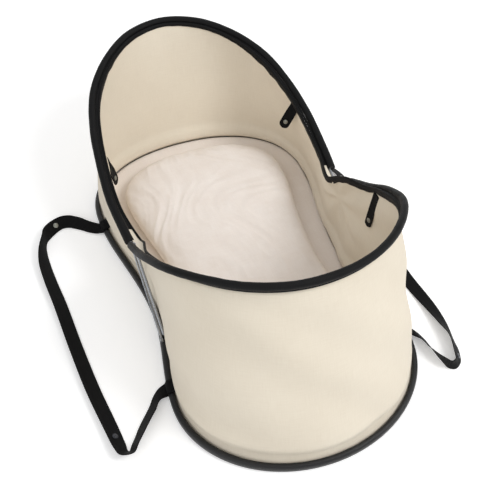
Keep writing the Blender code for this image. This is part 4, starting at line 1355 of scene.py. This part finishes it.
@dataclass
class EdgeBinding:
    """The black tape folded over the whole opening edge of the cloth."""

    width_at_foot: float = 0.0085
    width_at_side: float = 0.0120
    width_at_head: float = 0.0064
    outer_width: float = 0.0030
    half_fold: float = 0.0017
    thickness: float = 0.0008
    width_places: tuple[float, ...] = (0.02, 0.12, 0.40, 0.50)
    lap: float = 0.0020
    stand: float = 0.5 * MM

    def width(self, forward: float, arc: float) -> float:
        """Gives the inner leg's width at a place along the cot, with its uneven sewing."""
        plain = float(
            np.interp(
                forward,
                self.width_places,
                [self.width_at_foot, self.width_at_side, self.width_at_side, self.width_at_head],
            )
        )
        slow = 0.24 * ripple((arc, 0.3, 0.0), 0.05)
        quick = 0.26 * ripple((arc, 7.0, 0.0), 0.018)
        return plain * (1.0 + slow + quick)

    def section(self, arc: float, rim: Points, down: Points, across: Points) -> list[Points]:
        """Gives the points across the tape at one place, from inner edge over the fold to outer edge.

        Args:
            arc: The distance round the opening.
            rim: The cloth's edge there.
            down: The direction down the wall.
            across: The direction out of the wall.

        Returns:
            The points.
        """
        inner = self.width(rim[1], arc)
        top = rim - down * self.lap
        points = []
        for share in (1.0, 0.72, 0.44, 0.18):
            stand = self.stand * ripple((arc, share * 0.01, 2.0), 0.02)
            points.append(top + down * inner * share - across * (self.half_fold + stand * share))
        for angle in (-60.0, -20.0, 20.0, 60.0):
            turn = math.radians(angle)
            drop = self.half_fold * (1.0 - math.cos(turn))
            points.append(top + across * self.half_fold * math.sin(turn) + down * drop)
        for share in (0.3, 0.65, 1.0):
            lean = 1.0 - 0.12 * share
            points.append(top + down * self.outer_width * share + across * self.half_fold * lean)
        return points

    def build(self) -> None:
        """Builds the tape round the opening."""
        fine = SHAPE.fine_stations()
        rim = fine[:, -1]
        along = directions(rim, closed=True)
        arcs = distances(rim)
        rows = []
        for k in range(len(rim)):
            down = fine[k, -2] - rim[k]
            down -= along[k] * np.dot(down, along[k])
            down /= np.linalg.norm(down)
            across = out_of_wall(along[k], down, rim[k])
            rows.append(self.section(arcs[k], rim[k], down, across))
        tape = thickened(loft("opening_binding_tape", np.array(rows), closed_along=True), self.thickness)
        dress(tape, BINDING_TAPE, "cot", ["opening_binding"])
        squash_with_wall(tape)


@dataclass
class CornerWeb:
    """The canvas web that fills the gap between the opening's edge and the two hoops at one corner."""

    side: Side
    hood_end: float = 0.200
    foot_end: float = 0.010
    steps: int = 40
    across: int = 7
    clear: float = 0.0050
    thickness: float = 0.0010
    sag: float = 2.2 * MM
    turn_forward: float = 0.09

    def build(self) -> None:
        """Builds the web between the hoops and the edge."""
        flip = np.array([self.side.value, 1.0, 1.0])
        hood = SHAPE.hood().half() * flip
        foot = SHAPE.foot().half() * flip
        near_hood = hood[hood[:, 1] <= self.hood_end][::-1]
        near_foot = foot[foot[:, 1] >= self.foot_end]
        outer = even_steps(np.vstack([near_hood, near_foot]), self.steps)
        stations = SHAPE.fine_stations()[:, -1]
        rim = stations[stations[:, 0] * self.side.value > 0]
        rim = rim[np.argsort(np.arctan2(rim[:, 1] - self.turn_forward, np.abs(rim[:, 0])))]
        first = int(np.argmin(np.linalg.norm(rim - outer[0], axis=1)))
        last = int(np.argmin(np.linalg.norm(rim - outer[-1], axis=1)))
        inner = even_steps(rim[min(first, last) : max(first, last) + 1], self.steps)
        if np.linalg.norm(inner[0] - outer[0]) > np.linalg.norm(inner[-1] - outer[0]):
            inner = inner[::-1]
        rows = []
        for k in range(self.steps):
            gap = inner[k] - outer[k]
            reach = float(np.linalg.norm(gap))
            start = outer[k] + gap / reach * min(self.clear, reach * 0.4)
            row = []
            for share in np.linspace(0.0, 1.0, self.across):
                uneven = 1.0 + ripple((k * 0.01, share, 0.0), 0.05)
                sag = self.sag * math.sin(math.pi * share) * uneven
                point = start + (inner[k] - start) * share
                row.append(point - np.array([0.0, 0.0, sag]))
            rows.append(row)
        web = thickened(loft(f"corner_web_canvas_{self.side.word}", np.array(rows)), self.thickness)
        dress(web, CANVAS, "cot", [f"gusset_{self.side.word}"])
        squash_with_wall(web)
        area = one_side_area(web)


@dataclass
class HoopSleeve:
    """A tape sleeve round a hoop's wire, sewn along its inner side, and the tape hem that joins it."""

    word: str
    body: str
    hoop: Hoop
    bare_left: float
    bare_right: float
    radius: float
    lean_left: float
    lean_right: float
    rise: float
    hem_left: tuple[float, float]
    hem_right: tuple[float, float]
    hem_gap: float = 0.0
    gap_below: float = 0.40
    loose_below: float = 0.30
    loose_over: float = 0.15
    looseness: float = 0.0
    ruck_depth: float = 0.00045
    sides: int = 24
    step: float = 0.0030
    finer_by: int = 8
    ruck_pitch: float = 0.013
    wave: float = 0.35 * MM
    wave_pitch: float = 0.045
    seam_ridge: float = 0.5 * MM
    hem_lap: float = 2.5 * MM
    hem_thickness: float = 0.9 * MM

    def centre(self) -> Points:
        """Draws the sleeve's centre line from the right end to the left one."""
        whole = finer(mirrored(self.hoop.half()), self.finer_by)
        first = whole[0] - directions(whole)[0] * max(-self.bare_right, 0.0)
        last = whole[-1] + directions(whole)[-1] * max(-self.bare_left, 0.0)
        whole = np.vstack([first, whole[1:-1], last])
        length = distances(whole)
        start = max(self.bare_right, 0.0)
        end = length[-1] - max(self.bare_left, 0.0)
        wanted = np.linspace(start, end, int((end - start) / self.step))
        return np.column_stack([np.interp(wanted, length, column) for column in whole.T])

    def build(self) -> None:
        """Builds the sleeve and its hem strip."""
        line = self.centre()
        along = directions(line)
        rim = SHAPE.fine_stations()[:, -1]
        seam = np.array([rim[int(np.argmin(np.linalg.norm(rim - p, axis=1)))] - p for p in line])
        reach = np.linalg.norm(seam, axis=1)
        seam -= (seam * along).sum(axis=1)[:, None] * along
        seam /= np.linalg.norm(seam, axis=1)[:, None]
        other = np.cross(along, seam)
        lengths = distances(line)
        hung = np.array([point + self.lean(point) for point in line])
        rows = []
        for k in range(len(line)):
            ring = []
            for i in range(self.sides):
                turn = 2 * math.pi * i / self.sides
                radius = self.radius + self.looseness * self.low_share(line[k])
                radius += self.ruck(lengths[k], turn)
                ring.append(hung[k] + radius * (seam[k] * math.cos(turn) + other[k] * math.sin(turn)))
            rows.append(ring)
        rows = self.with_turned_ends(np.array(rows), hung, along)
        tube = face_outwards(loft(f"{self.word}_sleeve_tape", rows, closed_across=True, capped=True))
        dress(tube, SLEEVE_TAPE, self.body, [f"{self.word}_sleeve"])
        self.build_hem(line, seam, reach)

    def low_share(self, point: Points) -> float:
        """Gives how far down the hoop's side a point lies, from 0 to 1."""
        return float(np.clip((self.loose_below - point[1]) / self.loose_over, 0.0, 1.0))

    def lean(self, point: Points) -> Points:
        """Works out how far the loose sleeve hangs off its wire."""
        level = np.array([point[0], (point[1] - OPENING_MIDDLE) * 0.4, 0.0])
        level /= max(np.linalg.norm(level), 1e-9)
        side = float(np.clip(abs(point[0]) / 0.17, 0.0, 1.0)) ** 2
        out = (self.lean_right if point[0] > 0 else self.lean_left) * side
        return level * out + np.array([0.0, 0.0, self.rise * (1.0 - 0.7 * side)])

    def ruck(self, along: float, turn: float) -> float:
        """Works out how the tape rucks up: short creases across it, deepest beside its seam."""
        near_seam = max(0.0, math.cos(turn)) ** 4
        round_it = (math.cos(turn) * 0.008, math.sin(turn) * 0.008)
        crease = self.ruck_depth * ripple((along, *round_it), self.ruck_pitch, 2)
        long_wave = self.wave * ripple((along, 4.0, turn * 0.02), self.wave_pitch)
        return crease * (0.35 + 0.65 * near_seam) + long_wave + self.seam_ridge * near_seam

    def with_turned_ends(self, rows: Points, line: Points, along: Points) -> Points:
        """Turns each end of the sleeve in towards the wire, as a folded hem does."""
        first, last = line[0], line[-1]
        start = [
            first + (rows[0] - first) * 0.45 + along[0] * 1.2 * MM,
            first + (rows[0] - first) * 0.80,
            first + (rows[0] - first) * 0.97 + along[0] * 0.5 * MM,
        ]
        end = [
            last + (rows[-1] - last) * 0.97 - along[-1] * 0.5 * MM,
            last + (rows[-1] - last) * 0.80,
            last + (rows[-1] - last) * 0.45 - along[-1] * 1.2 * MM,
        ]
        return np.concatenate([np.array(start), rows[1:-1], np.array(end)])

    def build_hem(self, line: Points, seam: Points, reach: Points) -> None:
        """Builds the strip of tape from the sleeve's seam to the binding."""
        inner = self.radius - self.hem_lap
        rows = []
        for k in range(len(line)):
            low, high = self.hem_right if line[k][0] > 0 else self.hem_left
            if not low <= line[k][1] <= high:
                continue
            below = float(np.clip((self.gap_below - line[k][1]) / 0.06, 0.0, 1.0))
            outer = reach[k] - 1.0 * MM - self.hem_gap * (below * (line[k][0] > 0))
            width = max(outer, inner + 0.5 * MM) - inner
            rows.append([line[k] + seam[k] * (inner + width * s) for s in np.linspace(0.0, 1.0, 4)])
        strip = thickened(loft(f"{self.word}_hem_tape", np.array(rows)), self.hem_thickness)
        dress(strip, SLEEVE_TAPE, self.body)


@dataclass
class BaseBand:
    """The black tape welt round the base wire, closed over it and sewn to the wall and the floor cloth."""

    width: float = 0.0072
    width_at_pivot: float = 0.0098
    height: float = 0.0122
    rise_at_pivot: float = 0.0055
    pivot_reach: float = 0.050
    thickness: float = 0.0008
    corner: float = 0.0032
    across: int = 9
    around: int = 540
    clear: float = 0.0004
    wave: float = 0.45 * MM
    wave_pitch: float = 0.026

    def section(self, forward: float) -> list[tuple[float, float]]:
        """Gives the share of the band's width and the height of each point across it."""
        near = max(0.0, 1.0 - abs(forward) / self.pivot_reach)
        top = self.height + self.rise_at_pivot * near * near * (3 - 2 * near)
        half = self.thickness / 2
        points = [(1.0, half), (0.5, half), (self.corner / self.width * 0.6, half)]
        for share in (0.0, 0.33, 0.66, 1.0):
            turn = math.pi / 2 * share
            wide = self.corner / self.width * 0.45 * (1 - math.sin(turn))
            points.append((wide, half + self.corner * 0.45 * (1 - math.cos(turn))))
        for share in np.linspace(0.0, 1.0, self.across):
            turn = math.pi / 2 * share
            height = top * 0.42 + (top * 0.58 - half) * math.sin(turn)
            points.append((0.62 * (1 - math.cos(turn)), height))
        points += [(0.86, top * 0.99), (1.08, top * 0.97), (1.26, top * 0.92), (1.32, top * 0.78)]
        return points

    def build(self) -> None:
        """Builds the band round the base, with its uneven top."""
        outer = SHAPE.outline.loop(self.clear, self.clear, self.around)
        inner = SHAPE.outline.loop(self.width, self.width_at_pivot, self.around)
        arcs = distances(outer)
        rows = []
        for k in range(len(outer)):
            row = []
            for share, height in self.section(outer[k][1]):
                place = outer[k] + (inner[k] - outer[k]) * share
                wave = 0.0
                if height > self.height * 0.35:
                    wave = self.wave * ripple((arcs[k], share * 0.004, 0.0), self.wave_pitch, 2)
                row.append((place[0], place[1], height + wave))
            rows.append(row)
        band = thickened(loft("base_band_tape", np.array(rows), closed_along=True), self.thickness * 0.8)
        dress(band, BAND_TAPE, "cot", ["base_band"])


@dataclass
class CotFloor:
    """The canvas under the cot, and the stiff board in its cotton cover."""

    width: float = 0.0082
    width_at_pivot: float = 0.0150
    thickness: float = 0.0011
    cover_inset: float = 0.0122
    cover_inset_at_pivot: float = 0.0192
    centre: tuple[float, float] = (0.0, 0.09)
    around: int = 288
    hole: float = 0.04
    cover_lift: float = 1.2 * MM
    puff: float = 0.9 * MM
    puff_pitch: float = 0.035

    def build(self) -> None:
        """Builds the floor cloth and the covered board."""
        self.build_cloth()
        self.build_cover()

    def filled(self, name: str, rows: Points) -> bpy.types.Object:
        """Makes a disc from rings that shrink to a small hole, and closes the hole."""
        disc = loft(name, rows, closed_along=True)
        work = bmesh.new()
        work.from_mesh(disc.data)
        inner = {len(rows[0]) * (k + 1) - 1 for k in range(len(rows))}
        work.verts.ensure_lookup_table()
        hole = [e for e in work.edges if e.is_boundary and all(v.index in inner for v in e.verts)]
        bmesh.ops.holes_fill(work, edges=hole)
        work.to_mesh(disc.data)
        work.free()
        paint_uv(disc, np.array([[v.co.x, v.co.y] for v in disc.data.vertices]))
        disc.data.shade_smooth()
        return disc

    def build_cloth(self) -> None:
        """Builds the canvas under the cot."""
        edge = SHAPE.outline.loop(self.width, self.width_at_pivot, self.around)
        centre = np.array(self.centre)
        height = self.thickness / 2 + 0.02 * MM
        rows = [
            [(*(centre + (point - centre) * share), height) for share in np.linspace(1.0, self.hole, 14)]
            for point in edge
        ]
        cloth = thickened(self.filled("floor_canvas", np.array(rows)), self.thickness)
        dress(cloth, CANVAS, "cot", ["floor_cloth"])
        area = one_side_area(cloth)

    def build_cover(self) -> None:
        """Builds the cotton cover, drawn tight over the board, with a soft edge."""
        low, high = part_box("base_board")
        edge = SHAPE.outline.loop(self.cover_inset, self.cover_inset_at_pivot, self.around)
        centre = np.array(self.centre)
        top = high.z + self.cover_lift
        rim = [
            (0.985, low.z + 0.1 * MM),
            (1.0, low.z + 1.0 * MM),
            (1.001, top - 1.4 * MM),
            (0.992, top - 0.3 * MM),
        ]
        rings = rim + [(share, top) for share in np.linspace(0.975, self.hole, 26)]
        rows = []
        for point in edge:
            row = []
            for number, (share, height) in enumerate(rings):
                x, y = centre + (point - centre) * share
                on_top = number >= len(rim)
                puff = self.puff * ripple((x, y * 0.8, 0.0), self.puff_pitch, 2) if on_top else 0.0
                row.append((x, y, height + puff))
            rows.append(row)
        cover = face_outwards(self.filled("board_cover_cotton", np.array(rows)))
        dress(cover, LINING, "cot", ["base_board"])


@dataclass
class Mattress:
    """The soft pad: a brushed cotton cover, filled by a pressure simulation and creased by use."""

    voxel: float = 0.0055
    shrink: float = 0.0025
    pressure: float = 4.0
    frames: int = 20
    cap: float = 0.0050
    board_gap: float = 0.02 * MM
    plain_share: float = 0.12
    settle: float = 1.4 * MM
    ridge: float = 1.6 * MM
    ridge_pitch: float = 0.062
    fine_ridge: float = 0.4 * MM
    fine_pitch: float = 0.026

    def build(self) -> None:
        pad = copy_of_node("mattress", "mattress_pad")
        low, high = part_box("mattress")
        self.remesh(pad)
        self.inflate(pad, low.z)
        subdivided(pad, 1)
        moved_points(pad, lambda co, normal: self.crease(co, normal, low.z, high.z))
        for vertex in pad.data.vertices:
            vertex.co.z = max(vertex.co.z, low.z + self.board_gap)
        paint_uv(pad, np.array([[v.co.x, v.co.y + v.co.z] for v in pad.data.vertices]))
        pad.data.shade_smooth()
        dress(pad, LINING, "cot", ["mattress"])

    def remesh(self, pad: bpy.types.Object) -> None:
        """Shrinks the plain pad a little and gives it even faces."""
        moved_points(pad, lambda co, normal: normal * -self.shrink)
        even = pad.modifiers.new("even", "REMESH")
        even.mode = "VOXEL"
        even.voxel_size = self.voxel
        settled(pad)

    def inflate(self, pad: bpy.types.Object, rest: float) -> None:
        """Fills the cover with air pressure and keeps the result.

        Args:
            pad: The pad, with even faces.
            rest: The height of the board that it lies on.
        """
        before = np.array([v.co for v in pad.data.vertices])
        cloth = pad.modifiers.new("fill", "CLOTH")
        cloth.settings.quality = 6
        cloth.settings.use_pressure = True
        cloth.settings.uniform_pressure_force = self.pressure
        cloth.settings.effector_weights.gravity = 0.0
        cloth.settings.tension_stiffness = 12.0
        cloth.settings.bending_stiffness = 0.3
        cloth.point_cache.frame_start = 1
        cloth.point_cache.frame_end = self.frames
        scene = bpy.context.scene
        for number in range(1, self.frames + 1):
            scene.frame_set(number)
        settled(pad)
        scene.frame_set(1)
        after = np.array([v.co for v in pad.data.vertices])
        move = after - before
        size = np.linalg.norm(move, axis=1)
        scale = np.minimum(1.0, self.cap / np.maximum(size, 1e-9))
        placed = before + move * scale[:, None]
        placed[:, 2] = np.maximum(placed[:, 2], rest)
        pad.data.vertices.foreach_set("co", placed.astype(np.float32).ravel())
        pad.data.update()
        LOG.info("mattress filled: it moved %.1f mm at most", size.max() / MM)

    def crease(self, place: Vector, normal: Vector, low: float, high: float) -> Vector:
        """Works out the cover's creases at a place.

        Args:
            place: The point on the smooth pad.
            normal: Its outward direction.
            low: The pad's lowest height.
            high: The pad's highest height.

        Returns:
            How far the point moves.
        """
        share = (place.z - low) / (high - low)
        if share < self.plain_share:
            return Vector((0.0, 0.0, 0.0))
        bend = 0.7 * ripple(place, 0.15)
        across = place.x * math.cos(bend) + place.y * math.sin(bend)
        along = place.y * math.cos(bend) - place.x * math.sin(bend)
        ridge = 1.0 - abs(ripple((across * 1.7, along * 0.6, place.z), self.ridge_pitch, 2)) * 2.6
        fine = 1.0 - abs(ripple((across * 1.3, along, place.z + 1.0), self.fine_pitch, 2)) * 2.4
        lift = self.ridge * max(ridge, -0.7) * share + self.fine_ridge * max(fine, -0.6) * share
        return normal * (lift - self.settle)


@dataclass
class PressStud:
    """The upper half of a press stud: a domed cap with a rolled rim, on a flange."""

    radius: float = 0.0048
    height: float = 0.0019
    sides: int = 40
    profile: tuple[tuple[float, float], ...] = (
        (1.00, -0.45),
        (1.00, 0.18),
        (0.97, 0.38),
        (0.90, 0.50),
        (0.80, 0.46),
        (0.74, 0.44),
        (0.66, 0.56),
        (0.50, 0.76),
        (0.30, 0.92),
        (0.12, 0.99),
        (0.02, 1.00),
    )

    def build(
        self, name: str, place: Points, facing: Points, body: str, node: str, finish: Finish
    ) -> None:
        """Builds the cap at a place on a strap.

        Args:
            name: The new piece's name.
            place: The point on the strap's face.
            facing: The direction that the cap faces.
            body: The body that it moves with.
            node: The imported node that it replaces.
            finish: Its metal.
        """
        up = np.asarray(facing, float) / np.linalg.norm(facing)
        aside = np.cross(up, (0.0, 1.0, 0.0) if abs(up[1]) < 0.8 else (1.0, 0.0, 0.0))
        aside /= np.linalg.norm(aside)
        third = np.cross(up, aside)
        rows = []
        for share, rise in self.profile:
            ring = []
            for i in range(self.sides):
                turn = 2 * math.pi * i / self.sides
                spread = aside * math.cos(turn) + third * math.sin(turn)
                ring.append(np.asarray(place) + spread * share * self.radius + up * rise * self.height)
            rows.append(ring)
        cap = face_outwards(loft(name, np.array(rows), closed_across=True, capped=True))
        dress(cap, finish, body, [node])


@dataclass
class CarryHandle:
    """A black webbing strap lying on the floor beside the cot, sewn to the band at both ends."""

    side: Side
    foot_anchor: float
    studs: tuple[float, float]
    route: tuple[tuple[float, float, float], ...]
    head_anchor: float = 0.290
    reach: float = 0.120
    axis_offset: float = 0.0040
    band_gap: float = 0.0004
    end_height: float = 0.0062
    width: float = 0.0250
    thickness: float = 0.0016
    points: int = 56
    floor_gap: float = 0.0002
    finer_by: int = 5
    edge_width: float = 0.45 * MM
    cup: float = 0.5 * MM
    cup_pitch: float = 0.05
    tail_thickness: float = 1.3 * MM
    tail_mm: tuple[tuple[float, float], ...] = (
        (-0.9, 4.2),
        (-0.9, 8.0),
        (-0.2, 11.2),
        (1.6, 13.4),
        (4.2, 14.3),
        (6.6, 14.5),
        (9.0, 14.6),
        (11.0, 14.9),
        (12.2, 16.6),
        (12.4, 19.5),
    )

    def path(self) -> tuple[Points, Points]:
        """Draws the strap's centre line and its roll at each point."""
        sign = self.side.value
        ends = [
            np.array([sign * (SHAPE.outline.width_at(y) + self.axis_offset), y, self.end_height])
            for y in (self.head_anchor, self.foot_anchor)
        ]
        head, foot = ends
        flat = []
        for k, (out, along, roll) in enumerate(self.route):
            base = head + (foot - head) * along
            sewn = k in (0, len(self.route) - 1)
            reach = self.band_gap - self.axis_offset if sewn else out * self.reach
            flat.append((base[0] + sign * reach, base[1], math.radians(roll)))
        path = smooth_line(flat, self.points, measured=2)
        rolls = path[:, 2]
        upright, level = np.abs(np.sin(rolls)), np.abs(np.cos(rolls))
        lowest = self.width / 2 * upright + self.thickness / 2 * level + self.floor_gap
        beside = np.abs(np.interp(path[:, 1], [foot[1], head[1]], [foot[0], head[0]]))
        ease = np.clip(np.abs(np.abs(path[:, 0]) - beside) / (self.reach / 4), 0.0, 1.0)
        numbers = np.arange(self.points)
        at_ends = np.minimum(numbers, numbers[::-1]) < self.points // 8
        ease = np.where(at_ends, ease**2 * (3 - 2 * ease), 1.0)
        lifted = np.maximum(head[2] * (1 - ease) + lowest * ease, lowest)
        return np.column_stack([path[:, :2], lifted]), rolls

    def band_direction(self, forward: float) -> Points:
        """Gives the level direction of the base band where the strap is sewn to it."""
        half = self.width / 2
        across = SHAPE.outline.width_at(forward + half) - SHAPE.outline.width_at(forward - half)
        along = np.array([self.side.value * across, self.width, 0.0])
        return along / np.linalg.norm(along)

    def edges(self) -> Points:
        """Gives the strap's two long edges, one pair for each point of its path."""
        path, rolls = self.path()
        along = directions(path)
        along[:, 2] = 0.0
        along /= np.linalg.norm(along, axis=1)[:, None]
        sewn = (self.band_direction(self.head_anchor), self.band_direction(self.foot_anchor))
        pairs = []
        for k, (point, direction, roll) in enumerate(zip(path, along, rolls)):
            across = np.cross(direction, (0.0, 0.0, 1.0))
            from_end = min(k, len(path) - 1 - k) / (len(path) // 8)
            if from_end < 1:
                edge = sewn[0] if k < len(path) / 2 else sewn[1]
                target = edge if np.dot(edge, across) > 0 else -edge
                across = across * from_end + target * (1 - from_end)
                across /= np.linalg.norm(across)
            raised = across * math.cos(roll) + np.array([0.0, 0.0, 1.0]) * math.sin(roll)
            pairs.append([point - raised * self.width / 2, point + raised * self.width / 2])
        return np.array(pairs)

    def build(self) -> None:
        """Builds the strap with softly rounded edges, and its studs."""
        pairs = finer(self.edges(), self.finer_by)
        middle = pairs.mean(axis=1)
        along = directions(middle)
        lengths = distances(middle)
        rows = []
        ups = []
        for k in range(len(pairs)):
            left, right = pairs[k]
            across = (right - left) / np.linalg.norm(right - left)
            up = np.cross(along[k], across)
            up *= -1.0 if up[2] < -0.05 else 1.0
            ups.append(up)
            cup = self.cup * ripple((lengths[k], self.side.value, 0.0), self.cup_pitch)
            row = []
            for share in (0.012, 0.05, 0.2, 0.4, 0.6, 0.8, 0.95, 0.988):
                row.append(left + (right - left) * share + up * cup * math.sin(math.pi * share))
            rows.append(row)
        name = f"handle_webbing_{self.side.word}"
        strap = thickened(loft(name, np.array(rows)), self.thickness * 0.88)
        edge_rounded(strap, self.edge_width)
        body = f"handle_{self.side.word[0]}"
        dress(strap, WEBBING, body, [f"handle_{self.side.word}"])
        for end, share, finish in zip(("head", "foot"), self.studs, (NICKEL_STUD, STUD)):
            k = int(np.argmin(np.abs(lengths - share * lengths[-1])))
            place = middle[k] + ups[k] * self.thickness * 0.5
            name = f"handle_{end}_stud_{self.side.word}"
            node = f"handle_stud_{end}_{self.side.word}"
            PressStud().build(name, place, ups[k], body, node, finish)

    def build_tails(self) -> None:
        """Builds the webbing tails that cross the band over both ends of the strap."""
        for end, forward in (("head", self.head_anchor), ("foot", self.foot_anchor)):
            ys = np.linspace(forward - self.width * 0.46, forward + self.width * 0.46, 9)
            rows = []
            for inset, height in self.tail_mm:
                half = SHAPE.outline.half(inset * MM)
                xs = np.interp(ys, half[:, 1], half[:, 0])
                rows.append([(self.side.value * x, y, height * MM) for x, y in zip(xs, ys)])
            name = f"{end}_tail_webbing_{self.side.word}"
            tail = thickened(loft(name, np.array(rows)), self.tail_thickness)
            dress(tail, WEBBING, "cot", [f"handle_patch_{end}_{self.side.word}"])


@dataclass
class SnapTab:
    """A webbing tab with a rounded end and a press stud, hanging inside the opening from its binding."""

    hoop: str
    side: Side
    forward: float
    top: float
    reach: float
    length: float
    width: float
    swing: float
    twist: float
    thickness: float = 0.0015
    stud_inset: float = 0.0140
    steps: int = 26
    edge_width: float = 0.4 * MM
    cup: float = 0.5 * MM
    swing_over: float = 0.016
    twist_over: float = 0.03
    stud_radius: float = 0.0044

    def frame_at(self, along: float) -> tuple[Points, Points]:
        """Gives the tab's direction and its facing at a distance below its top."""
        share = min(along / self.swing_over, 1.0)
        swing = math.radians(self.swing) * share * share * (3 - 2 * share)
        twist = math.radians(self.twist) * min(along / self.twist_over, 1.0)
        sign = self.side.value
        down = np.array([-sign * math.sin(swing), 0.0, -math.cos(swing)])
        face = np.array([-sign * math.cos(swing), 0.0, math.sin(swing)])
        facing = face * math.cos(twist) - np.array([0.0, 1.0, 0.0]) * math.sin(twist)
        return down, facing

    def build(self) -> None:
        """Builds the tab and its stud."""
        place = np.array([self.side.value * self.reach, self.forward, self.top])
        step = self.length / (self.steps - 1)
        radius = self.width / 2
        rows = []
        stud_place, stud_facing = place, np.array([0.0, 0.0, 1.0])
        for k in range(self.steps):
            along = k * step
            down, facing = self.frame_at(along)
            across = np.cross(facing, down)
            to_end = self.length - along
            into_end = max(radius - to_end, 0.0)
            half = radius if into_end == 0 else math.sqrt(max(radius**2 - into_end**2, 0.0))
            half = max(half, radius * 0.10)
            rows.append(
                [
                    place + across * half * share + facing * self.cup * (share * share)
                    for share in (-1.0, -0.9, -0.5, 0.0, 0.5, 0.9, 1.0)
                ]
            )
            if abs(to_end - self.stud_inset) <= step / 2:
                stud_place, stud_facing = place + facing * self.thickness / 2, facing
            place = place + down * step
        name = f"{self.hoop}_tab_webbing_{self.side.word}"
        tab = thickened(loft(name, np.array(rows)), self.thickness)
        edge_rounded(tab, self.edge_width)
        body = f"{self.hoop}_tab_{self.side.word[0]}"
        dress(tab, WEBBING, body, [f"{self.hoop}_tab_{self.side.word}"])
        cap = PressStud(radius=self.stud_radius)
        name = f"{self.hoop}_tab_cap_{self.side.word}"
        stud = f"{self.hoop}_tab_stud_{self.side.word}"
        cap.build(name, stud_place, stud_facing, body, stud, NICKEL_STUD)


LEFT_ROUTE = (
    (0.000, 0.000, 0.0),
    (0.130, -0.026, 30.0),
    (0.290, -0.072, 36.0),
    (0.480, -0.104, 37.0),
    (0.640, -0.093, 32.0),
    (0.750, -0.062, 46.0),
    (0.840, -0.018, 76.0),
    (0.915, 0.048, 64.0),
    (0.955, 0.130, 42.0),
    (0.955, 0.240, 32.0),
    (0.930, 0.380, 27.0),
    (0.905, 0.656, 25.0),
    (0.860, 0.915, 24.0),
    (0.812, 1.060, 28.0),
    (0.790, 1.130, 32.0),
    (0.776, 1.175, 38.0),
    (0.752, 1.212, 48.0),
    (0.690, 1.226, 54.0),
    (0.590, 1.196, 56.0),
    (0.430, 1.135, 50.0),
    (0.230, 1.065, 42.0),
    (0.085, 1.010, 22.0),
    (0.000, 1.000, 0.0),
)
RIGHT_ROUTE = (
    (0.000, 0.000, 0.0),
    (0.120, 0.000, 2.0),
    (0.240, 0.000, 8.0),
    (0.370, 0.050, 30.0),
    (0.430, 0.140, 30.0),
    (0.440, 0.340, 12.0),
    (0.430, 0.560, 4.0),
    (0.430, 0.750, -2.0),
    (0.475, 0.865, 4.0),
    (0.500, 0.945, 16.0),
    (0.500, 1.035, 36.0),
    (0.478, 1.108, 58.0),
    (0.425, 1.176, 52.0),
    (0.345, 1.216, 62.0),
    (0.255, 1.226, 84.0),
    (0.180, 1.192, 102.0),
    (0.120, 1.130, 122.0),
    (0.065, 1.045, 150.0),
    (0.000, 1.000, 180.0),
)
HOOD_TABS: dict[Side, dict[str, float]] = {
    Side.LEFT: {"forward": 0.295, "top": 0.157, "reach": 0.183, "swing": 10.0, "twist": 30.0},
    Side.RIGHT: {"forward": 0.322, "top": 0.163, "reach": 0.1865, "swing": 27.0, "twist": 48.0},
}
FOOT_TABS: dict[str, float] = {
    "forward": 0.015,
    "top": 0.2120,
    "reach": 0.1860,
    "swing": 3.0,
    "twist": 8.0,
}


@dataclass
class WireFrame:
    """The steel wires with their flattened ends, brackets and riveted pins."""

    wires: tuple[str, ...] = ("base_wire", "hood_wire", "foot_wire", "strut_left", "strut_right")
    brackets: tuple[str, ...] = ("pivot_bracket_left", "pivot_bracket_right")
    pins: tuple[str, ...] = ("pivot_pin_left", "pivot_pin_right", "corner_pin_left", "corner_pin_right")

    def build(self) -> None:
        """Dresses every steel node."""
        for node in self.wires:
            repaint(node, SPRING_STEEL, bevel_mm=0.3)
        for node in self.brackets:
            repaint(node, BLACKENED_STEEL, bevel_mm=0.25)
        for node in self.pins:
            repaint(node, SPRING_STEEL, bevel_mm=0.25)


def main() -> None:
    """Builds the sub-assemblies in order."""
    logging.basicConfig(level=logging.INFO, format="%(name)s %(message)s")
    Camera().build()
    Studio().build()
    WireFrame().build()
    ClothWall().build()
    EdgeBinding().build()
    HoopSleeve(
        "hood",
        "hood",
        SHAPE.hood(),
        bare_left=-0.006,
        bare_right=0.030,
        radius=0.0064,
        lean_left=0.0026,
        lean_right=0.0038,
        rise=0.0,
        hem_left=(0.165, 1.0),
        hem_right=(0.182, 1.0),
        hem_gap=0.0014,
        looseness=0.0016,
    ).build()
    HoopSleeve(
        "foot",
        "foot_hoop",
        SHAPE.foot(),
        bare_left=-0.004,
        bare_right=-0.024,
        radius=0.0058,
        lean_left=0.0010,
        lean_right=0.0026,
        rise=0.0026,
        hem_left=(-1.0, 0.020),
        hem_right=(-1.0, 0.050),
        loose_below=-1.0,
        ruck_depth=0.0008,
    ).build()
    BaseBand().build()
    CotFloor().build()
    Mattress().build()
    for handle in (
        CarryHandle(Side.LEFT, -0.085, (0.126, 0.777), LEFT_ROUTE, head_anchor=0.283),
        CarryHandle(Side.RIGHT, -0.122, (0.127, 0.812), RIGHT_ROUTE),
    ):
        handle.build()
        handle.build_tails()
    for side in Side:
        CornerWeb(side).build()
        SnapTab("hood", side, length=0.0580, width=0.0200, **HOOD_TABS[side]).build()
        SnapTab("foot", side, length=0.0745, width=0.0150, **FOOT_TABS).build()


if __name__ == "__main__":
    main()
